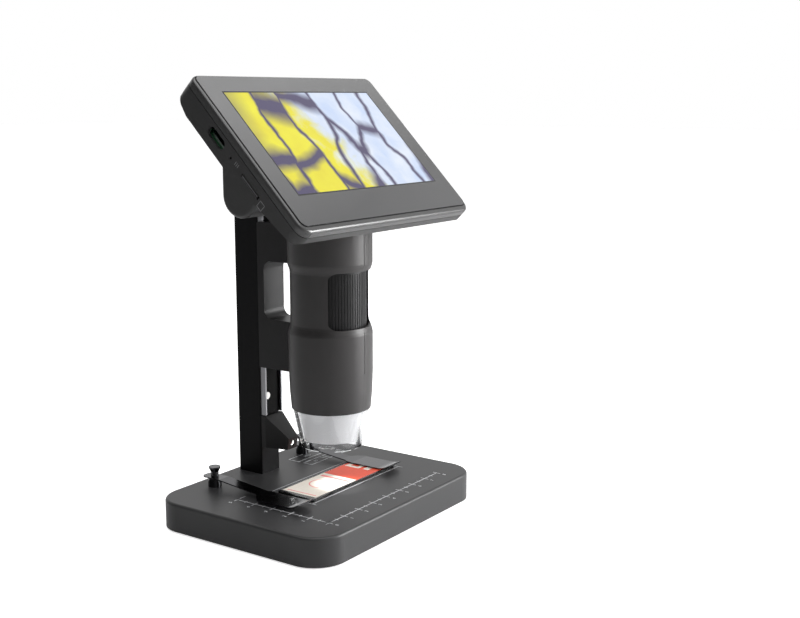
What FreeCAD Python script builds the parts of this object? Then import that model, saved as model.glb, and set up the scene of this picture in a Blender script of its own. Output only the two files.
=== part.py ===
"""Screen microscope on a printed stage base, built as separate pieces.

Units are millimetres. The frame's origin is the middle of the footprint, on the surface the feet
stand on. +Z is up, the front of the stage faces -Y, and the screen's own right side faces +X.
The screen head is drawn in a frame of its own (x across, y up the screen, z out of the glass)
and is then leaned back about the X axis by seat_head.
"""
import FreeCAD, Part
import math
import os

V = FreeCAD.Vector

# Fits
SLIDE_GAP = 0.2          # flat faces that slide past each other
RUN_GAP = 0.05           # a shaft in its bore
FIT_GAP = 0.1            # a piece laid in its seat
SWING_GAP = 0.5          # round parts that turn beside a fixed wall

# Base
BASE_W = 117.0
BASE_D = 93.5
BASE_TOP = 13.0
BASE_CORNER = 14.0
BASE_EDGE = 1.2
BASE_WALL = 2.2
BASE_DECK = 2.5
PLATE_T = 1.5
FOOT_R = 6.0
FOOT_PROUD = 0.6
FOOT_SUNK = 1.0
FOOT_INSET = 17.0        # from the base's side faces to a foot's centre
BOSS_INSET = 9.5         # from the base's side faces to a corner boss
BOSS_R = 3.4
BALLAST_T = 5.0
BALLAST_SIDE = 22.5      # clear of the base's side faces
BALLAST_FRONT = 10.0     # clear of the front face
BALLAST_REAR = 30.0      # clear of the rear face
BASE_SCREW_L = 7.0

# Screws
SMALL_SCREW_R = 1.0
BASE_SCREW_R = 1.25
COLUMN_SCREW_R = 1.5
HEAD_RATIO = 1.85        # screw head radius over shank radius
SCREW_HEAD_T = 1.2

# Column and guide
COLUMN_W = 12.6
COLUMN_D = 13.7
COLUMN_SET = 3.45        # column's back to the base's rear face
COLUMN_TOP = 145.0
COLUMN_EDGE = 0.8
COLUMN_SCREW_DEPTH = 10.0
COLUMN_SCREW_PITCH = 6.4
CAP_T = 2.0
CHANNEL_W = 11.4
CHANNEL_D = 2.7
CHANNEL_WALL = 0.7
CHANNEL_LOW = 41.0
CHANNEL_DOWN = 2.0       # below the column's top
STRIP_T = 0.5
CHANNEL_SCREW_X = -2.6
CHANNEL_SCREW_IN = 8.5   # from either end of the channel
CHANNEL_SCREW_L = 5.0

# Spot lamp on the foot of the column
LAMP_W = 12.0
LAMP_LOW = 26.0
LAMP_HIGH = 40.5
LAMP_SHELF = 2.4
LAMP_REACH_TOP = 13.9
LAMP_REACH_LOW = 13.0
LAMP_LIP = 31.2
LAMP_NOSE_W = 7.0
LAMP_EDGE = 0.7
LAMP_BORE_R = 1.6
LAMP_BORE_DEPTH = 4.0
LAMP_LENS_T = 1.2
LAMP_RECESS = 0.8
LAMP_BOARD_T = 0.8
LAMP_DIODE_R = 0.9

# Stage clips
CLIP_X = 30.5
CLIP_SET = 10.75         # post to the base's rear face
CLIP_W = 6.0             # the arm by the post
PADDLE_OUT = 8.0         # post's line to the paddle's outer edge
PADDLE_IN = 4.0          # post's line to the paddle's inner edge
PADDLE_START = 30.0      # post to the paddle's shoulder
PADDLE_CORNER = 1.5
CLIP_T = 0.5
CLIP_REACH = 53.5        # post to tip
CLIP_TAIL = 5.5          # post to the rear end
CLIP_LEVEL = 14.45       # underside of the flat part
CLIP_HIGH = 17.0         # underside at the post
CLIP_CURL = 1.6
POST_R = 1.6
POST_NECK_R = 1.7
POST_HEAD_R = 2.6
POST_TOP = 22.0
COLLAR_R = 3.0

# Specimen slide
SLIDE_L = 60.0
SLIDE_W = 20.0
SLIDE_T = 1.2
SLIDE_X = 7.0
SLIDE_Y = -4.0
LABEL_L = 55.0
LABEL_W = 18.4
LABEL_T = 0.1

# Barrel
BARREL_Y = -6.2
BARREL_R = 18.4
BARREL_WALL = 1.2
BARREL_LOW = 49.3
BARREL_TAPER = 66.0
BARREL_KNEE = 57.0
BARREL_MOUTH_R = 17.4
BARREL_TOP = 131.0
BARREL_LID = 2.0
BARREL_EDGE = 2.0
BARREL_SCREW_Z = (58.0, 74.5, 126.0)
BARREL_SCREW_REACH = 7.0
BARREL_BOSS_R = 2.2
SEAM_W = 0.15            # half of each parting groove
SEAM_DEEP = 0.3
BARREL_BOSS_SINK = 1.6   # boss centre inside the bore's wall
LUG_R = 2.0
WAIST_R = 17.4
WAIST_LOW = 87.0         # the waist's straight part
WAIST_HIGH = 109.5
WAIST_EASE = 4.0         # height of the slope above and below
WINDOW_LOW = 86.0
WINDOW_HIGH = 110.5
WINDOW_HALF_ANGLE = 55.0
WINDOW_CORNER = 3.0

# Lighting tip
TIP_LOW = 32.0
TIP_TOP_R = 16.9
TIP_END_R = 13.4
TIP_WALL = 2.1
TIP_SPIGOT = 4.5
TIP_SPIGOT_R = 15.9
NOTCH_W = 7.0
NOTCH_H = 1.8
NOTCH_ANGLE = 62.0       # each side of the front
DIFFUSER_LOW = 35.5
DIFFUSER_T = 0.8
LED_RING_R = 11.4
LED_COUNT = 8
LED_R = 1.1
LED_H = 1.4
LED_BOARD_T = 1.2
LED_BOARD_HOLE = 10.1

# Focus train
SLEEVE_R = 12.0
SLEEVE_LOW = 53.0
SLEEVE_TOP = 117.0
FLANGE_T = 2.5
FLANGE_Z = (78.0, 114.5)
WHEEL_R = 15.7
WHEEL_LOW = 84.0
WHEEL_HIGH = 111.0
WHEEL_RIBS = 72
WHEEL_RIB_DEPTH = 0.3
WHEEL_RELIEF_R = 13.8
TUBE_R = 9.6
TUBE_WALL = 1.4
TUBE_LOW = 55.0
TUBE_TOP = 108.0
TUBE_TRAVEL = 4.0
DRIVE_PIN_R = 1.0
DRIVE_PIN_Z = 97.0
LENS_T = 3.0
REAR_LENS_Z = 98.0
LENS_RING_T = 1.5
SENSOR_BOARD = 20.0
SENSOR_CHIP = 9.0
BOARD_T = 1.2

# Carriage
CARRIAGE_W = 13.6
CARRIAGE_EDGE = 0.6
CARRIAGE_LOW = 63.5
CARRIAGE_TOP = 129.0
TONGUE_W = 8.4
TONGUE_D = 1.1
GRIP_LOW = 86.0          # finger window
GRIP_HIGH = 112.0
GRIP_REAR = 1.1          # web left in front of the channel
GRIP_EDGE = 4.0
CARRIAGE_SCREW_X = 3.4
CARRIAGE_SCREW_Z = (69.0, 120.5)
CARRIAGE_SCREW_SET = 3.3 # barrel's back to a screw's seat
KNOB_R = 6.5
KNOB_T = 8.0
KNOB_Z = 74.0
KNOB_STEM_R = 2.0
KNOB_FLUTES = 12
KNOB_FLUTE_R = 1.0
KNOB_STANDOFF = 1.0
KNOB_STEM_BACK = 2.95    # stem's line in front of the column's face

# Screen head, in its own frame
LEAN = 45.7              # glass above the horizontal
HEAD_Y = -9.45           # middle of the picture
HEAD_Z = 165.33
HEAD_W = 118.0
HEAD_TOP = 37.2
HEAD_BOTTOM = -45.0
HEAD_CORNER = 5.0
HEAD_WALL = 1.6
GLASS_SIDE = 1.5         # head's side to the glass
GLASS_DOWN = 1.2         # head's top edge to the glass
GLASS_UP = 3.0           # head's bottom edge to the glass
GLASS_CORNER = 3.0
GLASS_T = 1.1
GLASS_FRONT = 0.6
GLASS_GAP = 0.4
RIM_FRONT = 0.2
RIM_EDGE = 1.4
PARTING = -3.5
REAR_DEPTH = -12.8
LOWER_DEPTH = -10.7      # behind the hinge line
TOE_DEPTH = -8.1         # at the bottom edge
SHOULDER = 5.0           # rounding of the top rear edge
LCD_SIDE = 4.75          # glass edge to the screen module, each side
LCD_DOWN = 5.0
LCD_UP = 5.8
LCD_T = 3.0
LEDGE_GAP = 0.6

# Hinge of the head
HINGE_Y = -8.3
HINGE_Z = 145.9
LOBE_R = 9.0
LOBE_WALL = 1.6
KNUCKLE_R = 7.5
KNUCKLE_HALF = 14.0
KNUCKLE_SIDE_GAP = 0.6
NECK_FRONT = 4.5         # in front of the hinge line
NECK_BACK = 7.5
HINGE_PIN_R = 2.5
BUSH_L = 7.0
POCKET_WALL = 1.2

# Inside the head
BATTERY_L = 58.0
BATTERY_W = 30.0
BATTERY_T = 4.0
HEAD_BOARD_FRONT = -8.7
HEAD_BOARD_LEFT = 21.0   # from the head's left side
HEAD_BOARD_RIGHT = 11.0  # from the head's right side
HEAD_BOARD_LOW = -3.0
HEAD_BOARD_HIGH = 30.0
HEAD_SCREW_IN = 4.4      # from the head's edges
HEAD_SCREW_SINK = 2.4
HEAD_SCREW_BOSS = 2.2
SIDE_BOARD_L = 16.0
SIDE_BOARD_LOW = -18.0
SIDE_BOARD_HIGH = 18.0
PORT_Y = 10.2
PORT_DEPTH = -7.2
PORT_L = 10.6
PORT_H = 4.4
PORT_BODY = 9.0
PORT_RECESS = 1.2
PORT_SHELL = 0.5
CARD_Y = -14.6
CARD_DEPTH = -7.8
CARD_W = 11.0
CARD_L = 15.0
CARD_T = 1.0
CARD_PROUD = 0.6
CARD_GAP = 0.2
CARD_SLOT_GROW = 0.6
CARD_TRAVEL = 13.0
SOCKET_W = 13.0
SOCKET_LOW = -9.0
SOCKET_HIGH = -6.4
PINHOLE_Y = -0.3
PINHOLE_R = 0.5
KEY_R = 2.6
KEY_TOP = 24.0
KEY_PITCH = 9.0
KEY_PROUD = 0.9
KEY_DEPTH = -7.0
KEY_FLANGE = 0.8
KEY_FLANGE_T = 1.2
KEY_TRAVEL = 0.6
KEY_NAMES = ("power_key", "menu_key", "up_key", "ok_key", "down_key")

# Worked out from the sizes above
COLUMN_BACK = BASE_D / 2 - COLUMN_SET
COLUMN_FRONT = COLUMN_BACK - COLUMN_D
CHANNEL_HIGH = COLUMN_TOP - CHANNEL_DOWN
CHANNEL_SCREW_Z = (CHANNEL_LOW + CHANNEL_SCREW_IN, CHANNEL_HIGH - CHANNEL_SCREW_IN)
CLIP_Y = BASE_D / 2 - CLIP_SET
LAMP_NOSE_TOP = (COLUMN_FRONT - LAMP_REACH_TOP, LAMP_LIP)
LAMP_NOSE_LOW = (COLUMN_FRONT - LAMP_REACH_LOW, LAMP_LOW)
DECK_UNDER = BASE_TOP - BASE_DECK
PLATE_TOP = FOOT_PROUD + PLATE_T
BARREL_BORE = BARREL_R - BARREL_WALL
FRONT_LIP = COLUMN_FRONT - CHANNEL_D
CARRIAGE_BACK = COLUMN_FRONT - SLIDE_GAP
CARRIAGE_SCREW_SEAT = BARREL_Y + BARREL_R + CARRIAGE_SCREW_SET
KNOB_Y = COLUMN_FRONT - KNOB_STEM_BACK
GLASS_W = HEAD_W - 2 * GLASS_SIDE
GLASS_TOP = HEAD_TOP - GLASS_DOWN
GLASS_BOTTOM = HEAD_BOTTOM + GLASS_UP
LCD_W = GLASS_W - 2 * LCD_SIDE
LCD_TOP = GLASS_TOP - LCD_DOWN
LCD_BOTTOM = GLASS_BOTTOM + LCD_UP
GLASS_BACK = GLASS_FRONT - GLASS_T
POCKET_R = KNUCKLE_R + SWING_GAP
HEAD_SIDE = HEAD_W / 2
HEAD_SCREW_X = HEAD_SIDE - HEAD_SCREW_IN
HEAD_SCREW_Y = (HEAD_TOP - HEAD_SCREW_IN, HEAD_BOTTOM + HEAD_SCREW_IN)
LEAN_RAD = math.radians(LEAN)
SIDE_BOARD_FRONT = SOCKET_LOW


def box(x0, x1, y0, y1, z0, z1):
    """A block between two corners."""
    return Part.makeBox(x1 - x0, y1 - y0, z1 - z0, V(x0, y0, z0))


def rod(radius, start, end):
    """A round bar from one point to another."""
    run = end - start
    return Part.makeCylinder(radius, run.Length, start, run)


def cone(r0, r1, start, end):
    """A tapered round bar."""
    run = end - start
    return Part.makeCone(r0, r1, run.Length, start, run)


def ring(outer, inner, start, end):
    """A tube with plain walls."""
    return rod(outer, start, end).cut(rod(inner, start, end))


def rounded_plan(width, y0, y1, corner):
    """A rounded rectangle in the XY plane, as a face at z = 0."""
    half = width / 2
    c = min(corner, half * 0.99, (y1 - y0) * 0.495)
    k = c * (1 - math.sqrt(0.5))
    lines = [
        (V(-half + c, y0, 0), V(half - c, y0, 0)),
        (V(half, y0 + c, 0), V(half, y1 - c, 0)),
        (V(half - c, y1, 0), V(-half + c, y1, 0)),
        (V(-half, y1 - c, 0), V(-half, y0 + c, 0)),
    ]
    mids = [V(half - k, y0 + k, 0), V(half - k, y1 - k, 0), V(-half + k, y1 - k, 0), V(-half + k, y0 + k, 0)]
    edges = []
    for i, (a, b) in enumerate(lines):
        edges.append(Part.makeLine(a, b))
        edges.append(Part.Arc(b, mids[i], lines[(i + 1) % 4][0]).toShape())
    return Part.Face(Part.Wire(edges))


def slab(width, y0, y1, corner, z0, z1):
    """A plate with rounded corners."""
    face = rounded_plan(width, y0, y1, corner)
    face.translate(V(0, 0, z0))
    return face.extrude(V(0, 0, z1 - z0))


def side_prism(points, x0, x1):
    """A bar along X whose section is a polygon of (y, z) points."""
    loop = [V(x0, y, z) for y, z in points]
    loop.append(loop[0])
    return Part.Face(Part.makePolygon(loop)).extrude(V(x1 - x0, 0, 0))


def turned(points):
    """A solid turned about the barrel's axis from (radius, z) points."""
    loop = [V(r, 0, z) for r, z in points]
    loop.append(loop[0])
    solid = Part.Face(Part.makePolygon(loop)).revolve(V(0, 0, 0), V(0, 0, 1), 360)
    solid.translate(V(0, BARREL_Y, 0))
    return solid


def softened(solid, radius, wanted):
    """Round the edges that the test picks out."""
    edges = [e for e in solid.Edges if wanted(e.BoundBox)]
    return solid.makeFillet(radius, edges) if edges else solid


def mirrored_x(solid):
    """The same piece on the other side of the middle plane."""
    return solid.mirror(V(0, 0, 0), V(1, 0, 0))


def seat_head(solid):
    """Lean a piece of the screen head back and carry it to its place."""
    done = solid.copy()
    done.rotate(V(0, 0, 0), V(1, 0, 0), LEAN)
    done.translate(V(0, HEAD_Y, HEAD_Z))
    return done


def head_point(y, z):
    """A (y, z) point of the row's frame, in the head's own frame."""
    dy = y - HEAD_Y
    dz = z - HEAD_Z
    up = dy * math.cos(LEAN_RAD) + dz * math.sin(LEAN_RAD)
    out = -dy * math.sin(LEAN_RAD) + dz * math.cos(LEAN_RAD)
    return up, out


def barrel_axis(z):
    """The point of the barrel's axis at a height."""
    return V(0, BARREL_Y, z)


def polar(radius, angle, z):
    """A point round the barrel; the angle is counted from the front, positive to the right."""
    a = math.radians(angle)
    return V(radius * math.sin(a), BARREL_Y - radius * math.cos(a), z)


def capped_screw(radius, head_base, tip):
    """A pan head screw whose head stands on head_base and whose shank ends at tip."""
    out = (head_base - tip).normalize()
    shank = rod(radius, tip, head_base)
    head = rod(radius * HEAD_RATIO, head_base, head_base + out * SCREW_HEAD_T)
    return shank.fuse(head).removeSplitter()


def foot_places():
    """Centres of the four rubber feet."""
    x = BASE_W / 2 - FOOT_INSET
    y = BASE_D / 2 - FOOT_INSET
    return [(sx * x, sy * y) for sx in (-1, 1) for sy in (-1, 1)]


def boss_places():
    """Centres of the four corner bosses of the base."""
    x = BASE_W / 2 - BOSS_INSET
    y = BASE_D / 2 - BOSS_INSET
    return [(sx * x, sy * y) for sx in (-1, 1) for sy in (-1, 1)]


def column_screw_places():
    """The two screw lines in the column, seen from above."""
    mid = COLUMN_FRONT + COLUMN_D / 2
    return [mid - COLUMN_SCREW_PITCH / 2, mid + COLUMN_SCREW_PITCH / 2]


def column_screw_seat():
    """Height at which the column screws' heads bear."""
    return PLATE_TOP + SCREW_HEAD_T + SWING_GAP


def make_base_shell():
    """The deck and skirt, open underneath."""
    half = BASE_D / 2
    outer = slab(BASE_W, -half, half, BASE_CORNER, FOOT_PROUD, BASE_TOP)
    outer = softened(outer, BASE_EDGE, lambda b: b.ZMin > BASE_TOP - 0.01)
    inner_w = BASE_W - 2 * BASE_WALL
    inner_y = half - BASE_WALL
    hollow = slab(inner_w, -inner_y, inner_y, BASE_CORNER - BASE_WALL, FOOT_PROUD, DECK_UNDER)
    shell = outer.cut(hollow)
    for x, y in boss_places():
        shell = shell.fuse(rod(BOSS_R, V(x, y, PLATE_TOP), V(x, y, DECK_UNDER)))
    pad_half = COLUMN_W / 2 + BASE_WALL / 2
    pad = box(-pad_half, pad_half, COLUMN_FRONT - BASE_WALL / 2, inner_y, column_screw_seat(), DECK_UNDER)
    shell = shell.fuse(pad)
    for x, y in boss_places():
        depth = PLATE_TOP + BASE_SCREW_L
        shell = shell.cut(rod(BASE_SCREW_R + RUN_GAP, V(x, y, PLATE_TOP), V(x, y, depth)))
    for y in column_screw_places():
        shell = shell.cut(rod(COLUMN_SCREW_R + FIT_GAP, V(0, y, PLATE_TOP), V(0, y, BASE_TOP)))
    for side in (-1, 1):
        place = V(side * CLIP_X, CLIP_Y, DECK_UNDER)
        shell = shell.cut(rod(POST_R + RUN_GAP, place, place + V(0, 0, BASE_DECK)))
    return shell.removeSplitter()


def make_base_plate():
    """The bottom cover, with seats for the feet and the screws."""
    half = BASE_D / 2 - BASE_WALL - FIT_GAP
    width = BASE_W - 2 * (BASE_WALL + FIT_GAP)
    plate = slab(width, -half, half, BASE_CORNER - BASE_WALL, FOOT_PROUD, PLATE_TOP)
    for x, y in foot_places():
        plate = plate.cut(rod(FOOT_R + FIT_GAP, V(x, y, FOOT_PROUD), V(x, y, FOOT_PROUD + FOOT_SUNK)))
    seat = PLATE_TOP - BASE_SCREW_R / 2
    for x, y in boss_places():
        plate = plate.cut(rod(BASE_SCREW_R + FIT_GAP, V(x, y, FOOT_PROUD), V(x, y, PLATE_TOP)))
        well = BASE_SCREW_R * HEAD_RATIO + FIT_GAP
        plate = plate.cut(rod(well, V(x, y, FOOT_PROUD), V(x, y, seat)))
    return plate


def make_base_feet():
    """Four rubber discs."""
    feet = [rod(FOOT_R, V(x, y, 0), V(x, y, FOOT_PROUD + FOOT_SUNK)) for x, y in foot_places()]
    return Part.Compound(feet)


def make_base_screws():
    """Four screws that hold the bottom cover."""
    seat = PLATE_TOP - BASE_SCREW_R / 2
    head_t = seat - FOOT_PROUD - FIT_GAP
    group = []
    for x, y in boss_places():
        shank = rod(BASE_SCREW_R, V(x, y, seat), V(x, y, seat + BASE_SCREW_L))
        head = rod(BASE_SCREW_R * HEAD_RATIO, V(x, y, seat - head_t), V(x, y, seat))
        group.append(shank.fuse(head).removeSplitter())
    return Part.Compound(group)


def make_ballast():
    """The steel weight that keeps the stand from tipping."""
    y0 = -BASE_D / 2 + BALLAST_FRONT
    y1 = BASE_D / 2 - BALLAST_REAR
    width = BASE_W - 2 * BALLAST_SIDE
    return slab(width, y0, y1, BALLAST_T, PLATE_TOP, PLATE_TOP + BALLAST_T)


def make_column():
    """The square post, with two screw lines along it."""
    solid = box(-COLUMN_W / 2, COLUMN_W / 2, COLUMN_FRONT, COLUMN_BACK, BASE_TOP, COLUMN_TOP)
    solid = softened(solid, COLUMN_EDGE, lambda b: b.ZLength > COLUMN_TOP - BASE_TOP - 0.01)
    for y in column_screw_places():
        solid = solid.cut(rod(COLUMN_SCREW_R + RUN_GAP, V(0, y, BASE_TOP), V(0, y, COLUMN_TOP)))
    for z in CHANNEL_SCREW_Z:
        start = V(CHANNEL_SCREW_X, COLUMN_FRONT, z)
        solid = solid.cut(rod(SMALL_SCREW_R + RUN_GAP, start, start + V(0, CHANNEL_SCREW_L, 0)))
    return solid


def make_column_cap():
    """The plastic lid of the column, with two plugs."""
    cap = box(-COLUMN_W / 2, COLUMN_W / 2, COLUMN_FRONT, COLUMN_BACK, COLUMN_TOP, COLUMN_TOP + CAP_T)
    cap = softened(cap, COLUMN_EDGE, lambda b: b.ZLength > CAP_T - 0.01)
    cap = softened(cap, COLUMN_EDGE * 0.6, lambda b: b.ZMin > COLUMN_TOP + CAP_T - 0.01)
    for y in column_screw_places():
        plug = rod(COLUMN_SCREW_R, V(0, y, COLUMN_TOP - 2 * CAP_T), V(0, y, COLUMN_TOP + CAP_T / 2))
        cap = cap.fuse(plug)
    return cap.removeSplitter()


def make_column_screws():
    """Two screws from under the deck into the column."""
    base = column_screw_seat()
    return Part.Compound([
        capped_screw(COLUMN_SCREW_R, V(0, y, base), V(0, y, BASE_TOP + COLUMN_SCREW_DEPTH))
        for y in column_screw_places()
    ])


def make_guide_channel():
    """The metal channel on the column's front that the carriage runs on."""
    half = CHANNEL_W / 2
    outer = box(-half, half, FRONT_LIP, COLUMN_FRONT, CHANNEL_LOW, CHANNEL_HIGH)
    gutter = box(-half + CHANNEL_WALL, half - CHANNEL_WALL, FRONT_LIP, COLUMN_FRONT - CHANNEL_WALL,
                 CHANNEL_LOW, CHANNEL_HIGH)
    channel = outer.cut(gutter)
    for z in CHANNEL_SCREW_Z:
        start = V(CHANNEL_SCREW_X, FRONT_LIP, z)
        channel = channel.cut(rod(SMALL_SCREW_R + RUN_GAP, start, start + V(0, CHANNEL_D, 0)))
    return channel


def make_channel_strip():
    """The dark strip laid in the channel's floor."""
    half = CHANNEL_W / 2 - CHANNEL_WALL - FIT_GAP
    floor = COLUMN_FRONT - CHANNEL_WALL
    strip = box(-half, half, floor - STRIP_T, floor, CHANNEL_LOW, CHANNEL_HIGH)
    for z in CHANNEL_SCREW_Z:
        start = V(CHANNEL_SCREW_X, floor - STRIP_T, z)
        strip = strip.cut(rod(SMALL_SCREW_R * 1.6 + FIT_GAP, start, start + V(0, STRIP_T, 0)))
    return strip


def make_channel_screws():
    """Screws that fix the channel to the column."""
    floor = COLUMN_FRONT - CHANNEL_WALL
    head_t = STRIP_T
    group = []
    for z in CHANNEL_SCREW_Z:
        seat = V(CHANNEL_SCREW_X, floor, z)
        shank = rod(SMALL_SCREW_R, seat, seat + V(0, CHANNEL_SCREW_L, 0))
        head = rod(SMALL_SCREW_R * 1.6, seat - V(0, head_t, 0), seat)
        group.append(shank.fuse(head).removeSplitter())
    return Part.Compound(group)


def lamp_axis():
    """Middle of the lamp's mouth and the way it looks, in the middle plane."""
    top = V(0, *LAMP_NOSE_TOP)
    low = V(0, *LAMP_NOSE_LOW)
    edge = (low - top).normalize()
    look = V(0, edge.z, -edge.y).normalize()
    return (top + low) * 0.5, look


def make_lamp_housing():
    """The sloping housing of the spot lamp, drawn in to a narrow nose and bored for its lens."""
    shelf = COLUMN_FRONT - LAMP_SHELF
    profile = [(COLUMN_FRONT, LAMP_LOW), (COLUMN_FRONT, LAMP_HIGH), (shelf, LAMP_HIGH),
               LAMP_NOSE_TOP, LAMP_NOSE_LOW]
    solid = side_prism(profile, -LAMP_W / 2, LAMP_W / 2)
    wide = LAMP_W / 2
    slim = LAMP_NOSE_W / 2
    nose = LAMP_NOSE_TOP[0] - 1
    knee = LAMP_NOSE_TOP[0] + slim / 2
    outline = [V(-wide, COLUMN_FRONT, 0), V(-wide, shelf, 0), V(-slim, knee, 0), V(-slim, nose, 0),
               V(slim, nose, 0), V(slim, knee, 0), V(wide, shelf, 0), V(wide, COLUMN_FRONT, 0)]
    outline.append(outline[0])
    plan = Part.Face(Part.makePolygon(outline)).extrude(V(0, 0, LAMP_HIGH + 1))
    solid = solid.common(plan).removeSplitter()
    solid = softened(solid, LAMP_EDGE, lambda b: b.XLength < 0.01 and b.YMax < knee - 0.5)
    mouth, look = lamp_axis()
    return solid.cut(rod(LAMP_BORE_R, mouth - look * LAMP_BORE_DEPTH, mouth + look))


def make_lamp_lens():
    """The clear lens in the lamp's mouth."""
    mouth, look = lamp_axis()
    front = mouth - look * LAMP_RECESS
    return rod(LAMP_BORE_R - FIT_GAP, front - look * LAMP_LENS_T, front)


def make_lamp_board():
    """The lamp's light source on its round board."""
    mouth, look = lamp_axis()
    floor = mouth - look * LAMP_BORE_DEPTH
    board = rod(LAMP_BORE_R - FIT_GAP, floor, floor + look * LAMP_BOARD_T)
    return board.fuse(rod(LAMP_DIODE_R, floor + look * LAMP_BOARD_T, floor + look * LAMP_BOARD_T * 2)).removeSplitter()


def clip_profile():
    """The clip's bend, as (reach, height of the underside) points from the rear end to the tip."""
    slope_end = CLIP_REACH * 0.5
    points = [(-CLIP_TAIL, CLIP_HIGH), (CLIP_TAIL, CLIP_HIGH), (slope_end, CLIP_LEVEL + 0.35),
              (slope_end + 6, CLIP_LEVEL), (CLIP_REACH - 6, CLIP_LEVEL)]
    steps = 5
    for i in range(1, steps + 1):
        t = i / steps
        points.append((CLIP_REACH - 6 + 6 * t, CLIP_LEVEL + CLIP_CURL * t * t))
    return points


def make_clip(side):
    """A bent spring-steel clip with its hole round the post; side is -1 or 1."""
    low = clip_profile()
    section = [(-s, z) for s, z in low] + [(-s, z + CLIP_T) for s, z in reversed(low)]
    strip = side_prism(section, -PADDLE_OUT, PADDLE_OUT)
    arm = CLIP_W / 2
    c = PADDLE_CORNER
    bends = [(arm, CLIP_TAIL - c), (arm - c, CLIP_TAIL), (c - arm, CLIP_TAIL), (-arm, CLIP_TAIL - c),
             (-arm, c - PADDLE_START), (-PADDLE_IN, -PADDLE_START), (-PADDLE_IN, c - CLIP_REACH),
             (c - PADDLE_IN, -CLIP_REACH), (PADDLE_OUT - c, -CLIP_REACH), (PADDLE_OUT, c - CLIP_REACH),
             (PADDLE_OUT, -PADDLE_START - c), (PADDLE_OUT - c, -PADDLE_START), (arm, 2 * c - PADDLE_START)]
    outline = [V(side * x, y, 0) for x, y in bends]
    outline.append(outline[0])
    plan = Part.Face(Part.makePolygon(outline)).extrude(V(0, 0, POST_TOP))
    clip = strip.common(plan)
    clip = clip.cut(rod(POST_R + RUN_GAP, V(0, 0, 0), V(0, 0, POST_TOP)))
    clip.translate(V(side * CLIP_X, CLIP_Y, 0))
    return clip


def make_clip_posts():
    """Two turned steel posts with flared heads, each with its collar."""
    group = []
    for side in (-1, 1):
        x = side * CLIP_X
        top_of_clip = CLIP_HIGH + CLIP_T + RUN_GAP
        shank = rod(POST_R, V(x, CLIP_Y, DECK_UNDER), V(x, CLIP_Y, top_of_clip + 0.5))
        neck = rod(POST_NECK_R, V(x, CLIP_Y, top_of_clip), V(x, CLIP_Y, POST_TOP - 2.4))
        flare = cone(POST_NECK_R, POST_HEAD_R, V(x, CLIP_Y, POST_TOP - 2.4), V(x, CLIP_Y, POST_TOP - 0.6))
        crown = rod(POST_HEAD_R, V(x, CLIP_Y, POST_TOP - 0.6), V(x, CLIP_Y, POST_TOP))
        collar = rod(COLLAR_R, V(x, CLIP_Y, BASE_TOP), V(x, CLIP_Y, CLIP_HIGH - RUN_GAP))
        group.append(shank.multiFuse([neck, flare, crown, collar]).removeSplitter())
    return Part.Compound(group)


def make_specimen_slide():
    """The flat slide that lies on the stage."""
    x0 = SLIDE_X - SLIDE_L / 2
    y0 = SLIDE_Y - SLIDE_W / 2
    solid = box(x0, x0 + SLIDE_L, y0, y0 + SLIDE_W, BASE_TOP, BASE_TOP + SLIDE_T)
    return softened(solid, 0.8, lambda b: b.ZLength > SLIDE_T - 0.01)


def make_slide_label():
    """The printed paper label that covers the slide."""
    x1 = SLIDE_X + LABEL_L / 2
    y0 = SLIDE_Y - LABEL_W / 2
    top = BASE_TOP + SLIDE_T
    return box(x1 - LABEL_L, x1, y0, y0 + LABEL_W, top, top + LABEL_T)


def waist_points(full, waist):
    """The (radius, z) points of the waist, from under it to over it."""
    ease = WAIST_EASE / 4
    step = (full - waist) / 6
    return [(full, WAIST_LOW - 4 * ease), (full - step, WAIST_LOW - 3 * ease), (waist + step, WAIST_LOW - ease),
            (waist, WAIST_LOW), (waist, WAIST_HIGH), (waist + step, WAIST_HIGH + ease),
            (full - step, WAIST_HIGH + 3 * ease), (full, WAIST_HIGH + 4 * ease)]


def barrel_outer():
    """The barrel's outside: drawn in towards the mouth and at the waist, softened on top."""
    points = [(0, BARREL_LOW), (BARREL_MOUTH_R, BARREL_LOW), ((BARREL_MOUTH_R + 2 * BARREL_R) / 3, BARREL_KNEE),
              (BARREL_R, BARREL_TAPER)]
    points += waist_points(BARREL_R, WAIST_R)
    points += [(BARREL_R, BARREL_TOP), (0, BARREL_TOP)]
    solid = turned(points)
    return softened(solid, BARREL_EDGE, lambda b: b.ZMin > BARREL_TOP - 0.01)


def barrel_inner():
    """The barrel's hollow."""
    mouth = BARREL_MOUTH_R - BARREL_WALL
    points = [(0, BARREL_LOW), (mouth, BARREL_LOW), ((mouth + 2 * BARREL_BORE) / 3, BARREL_KNEE),
              (BARREL_BORE, BARREL_TAPER)]
    points += waist_points(BARREL_BORE, WAIST_R - BARREL_WALL)
    points += [(BARREL_BORE, BARREL_TOP - BARREL_LID), (0, BARREL_TOP - BARREL_LID)]
    return turned(points)


def wheel_window():
    """The cutter for the front window that shows the focus wheel."""
    edge = polar(WAIST_R, WINDOW_HALF_ANGLE, WINDOW_LOW)
    near = polar(WHEEL_R, WINDOW_HALF_ANGLE, WINDOW_LOW)
    cutter = box(-edge.x, edge.x, BARREL_Y - BARREL_R - 2, near.y, WINDOW_LOW, WINDOW_HIGH)
    cutter = softened(cutter, WINDOW_CORNER, lambda b: b.XLength < 0.01 and b.ZLength < 0.01)
    return cutter.cut(rod(WHEEL_R, barrel_axis(WINDOW_LOW), barrel_axis(WINDOW_HIGH)))


def barrel_screw_line(z):
    """The line, behind the focus train, on which a barrel screw lies."""
    return V(0, BARREL_Y + BARREL_BORE - BARREL_BOSS_SINK, z)


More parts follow.
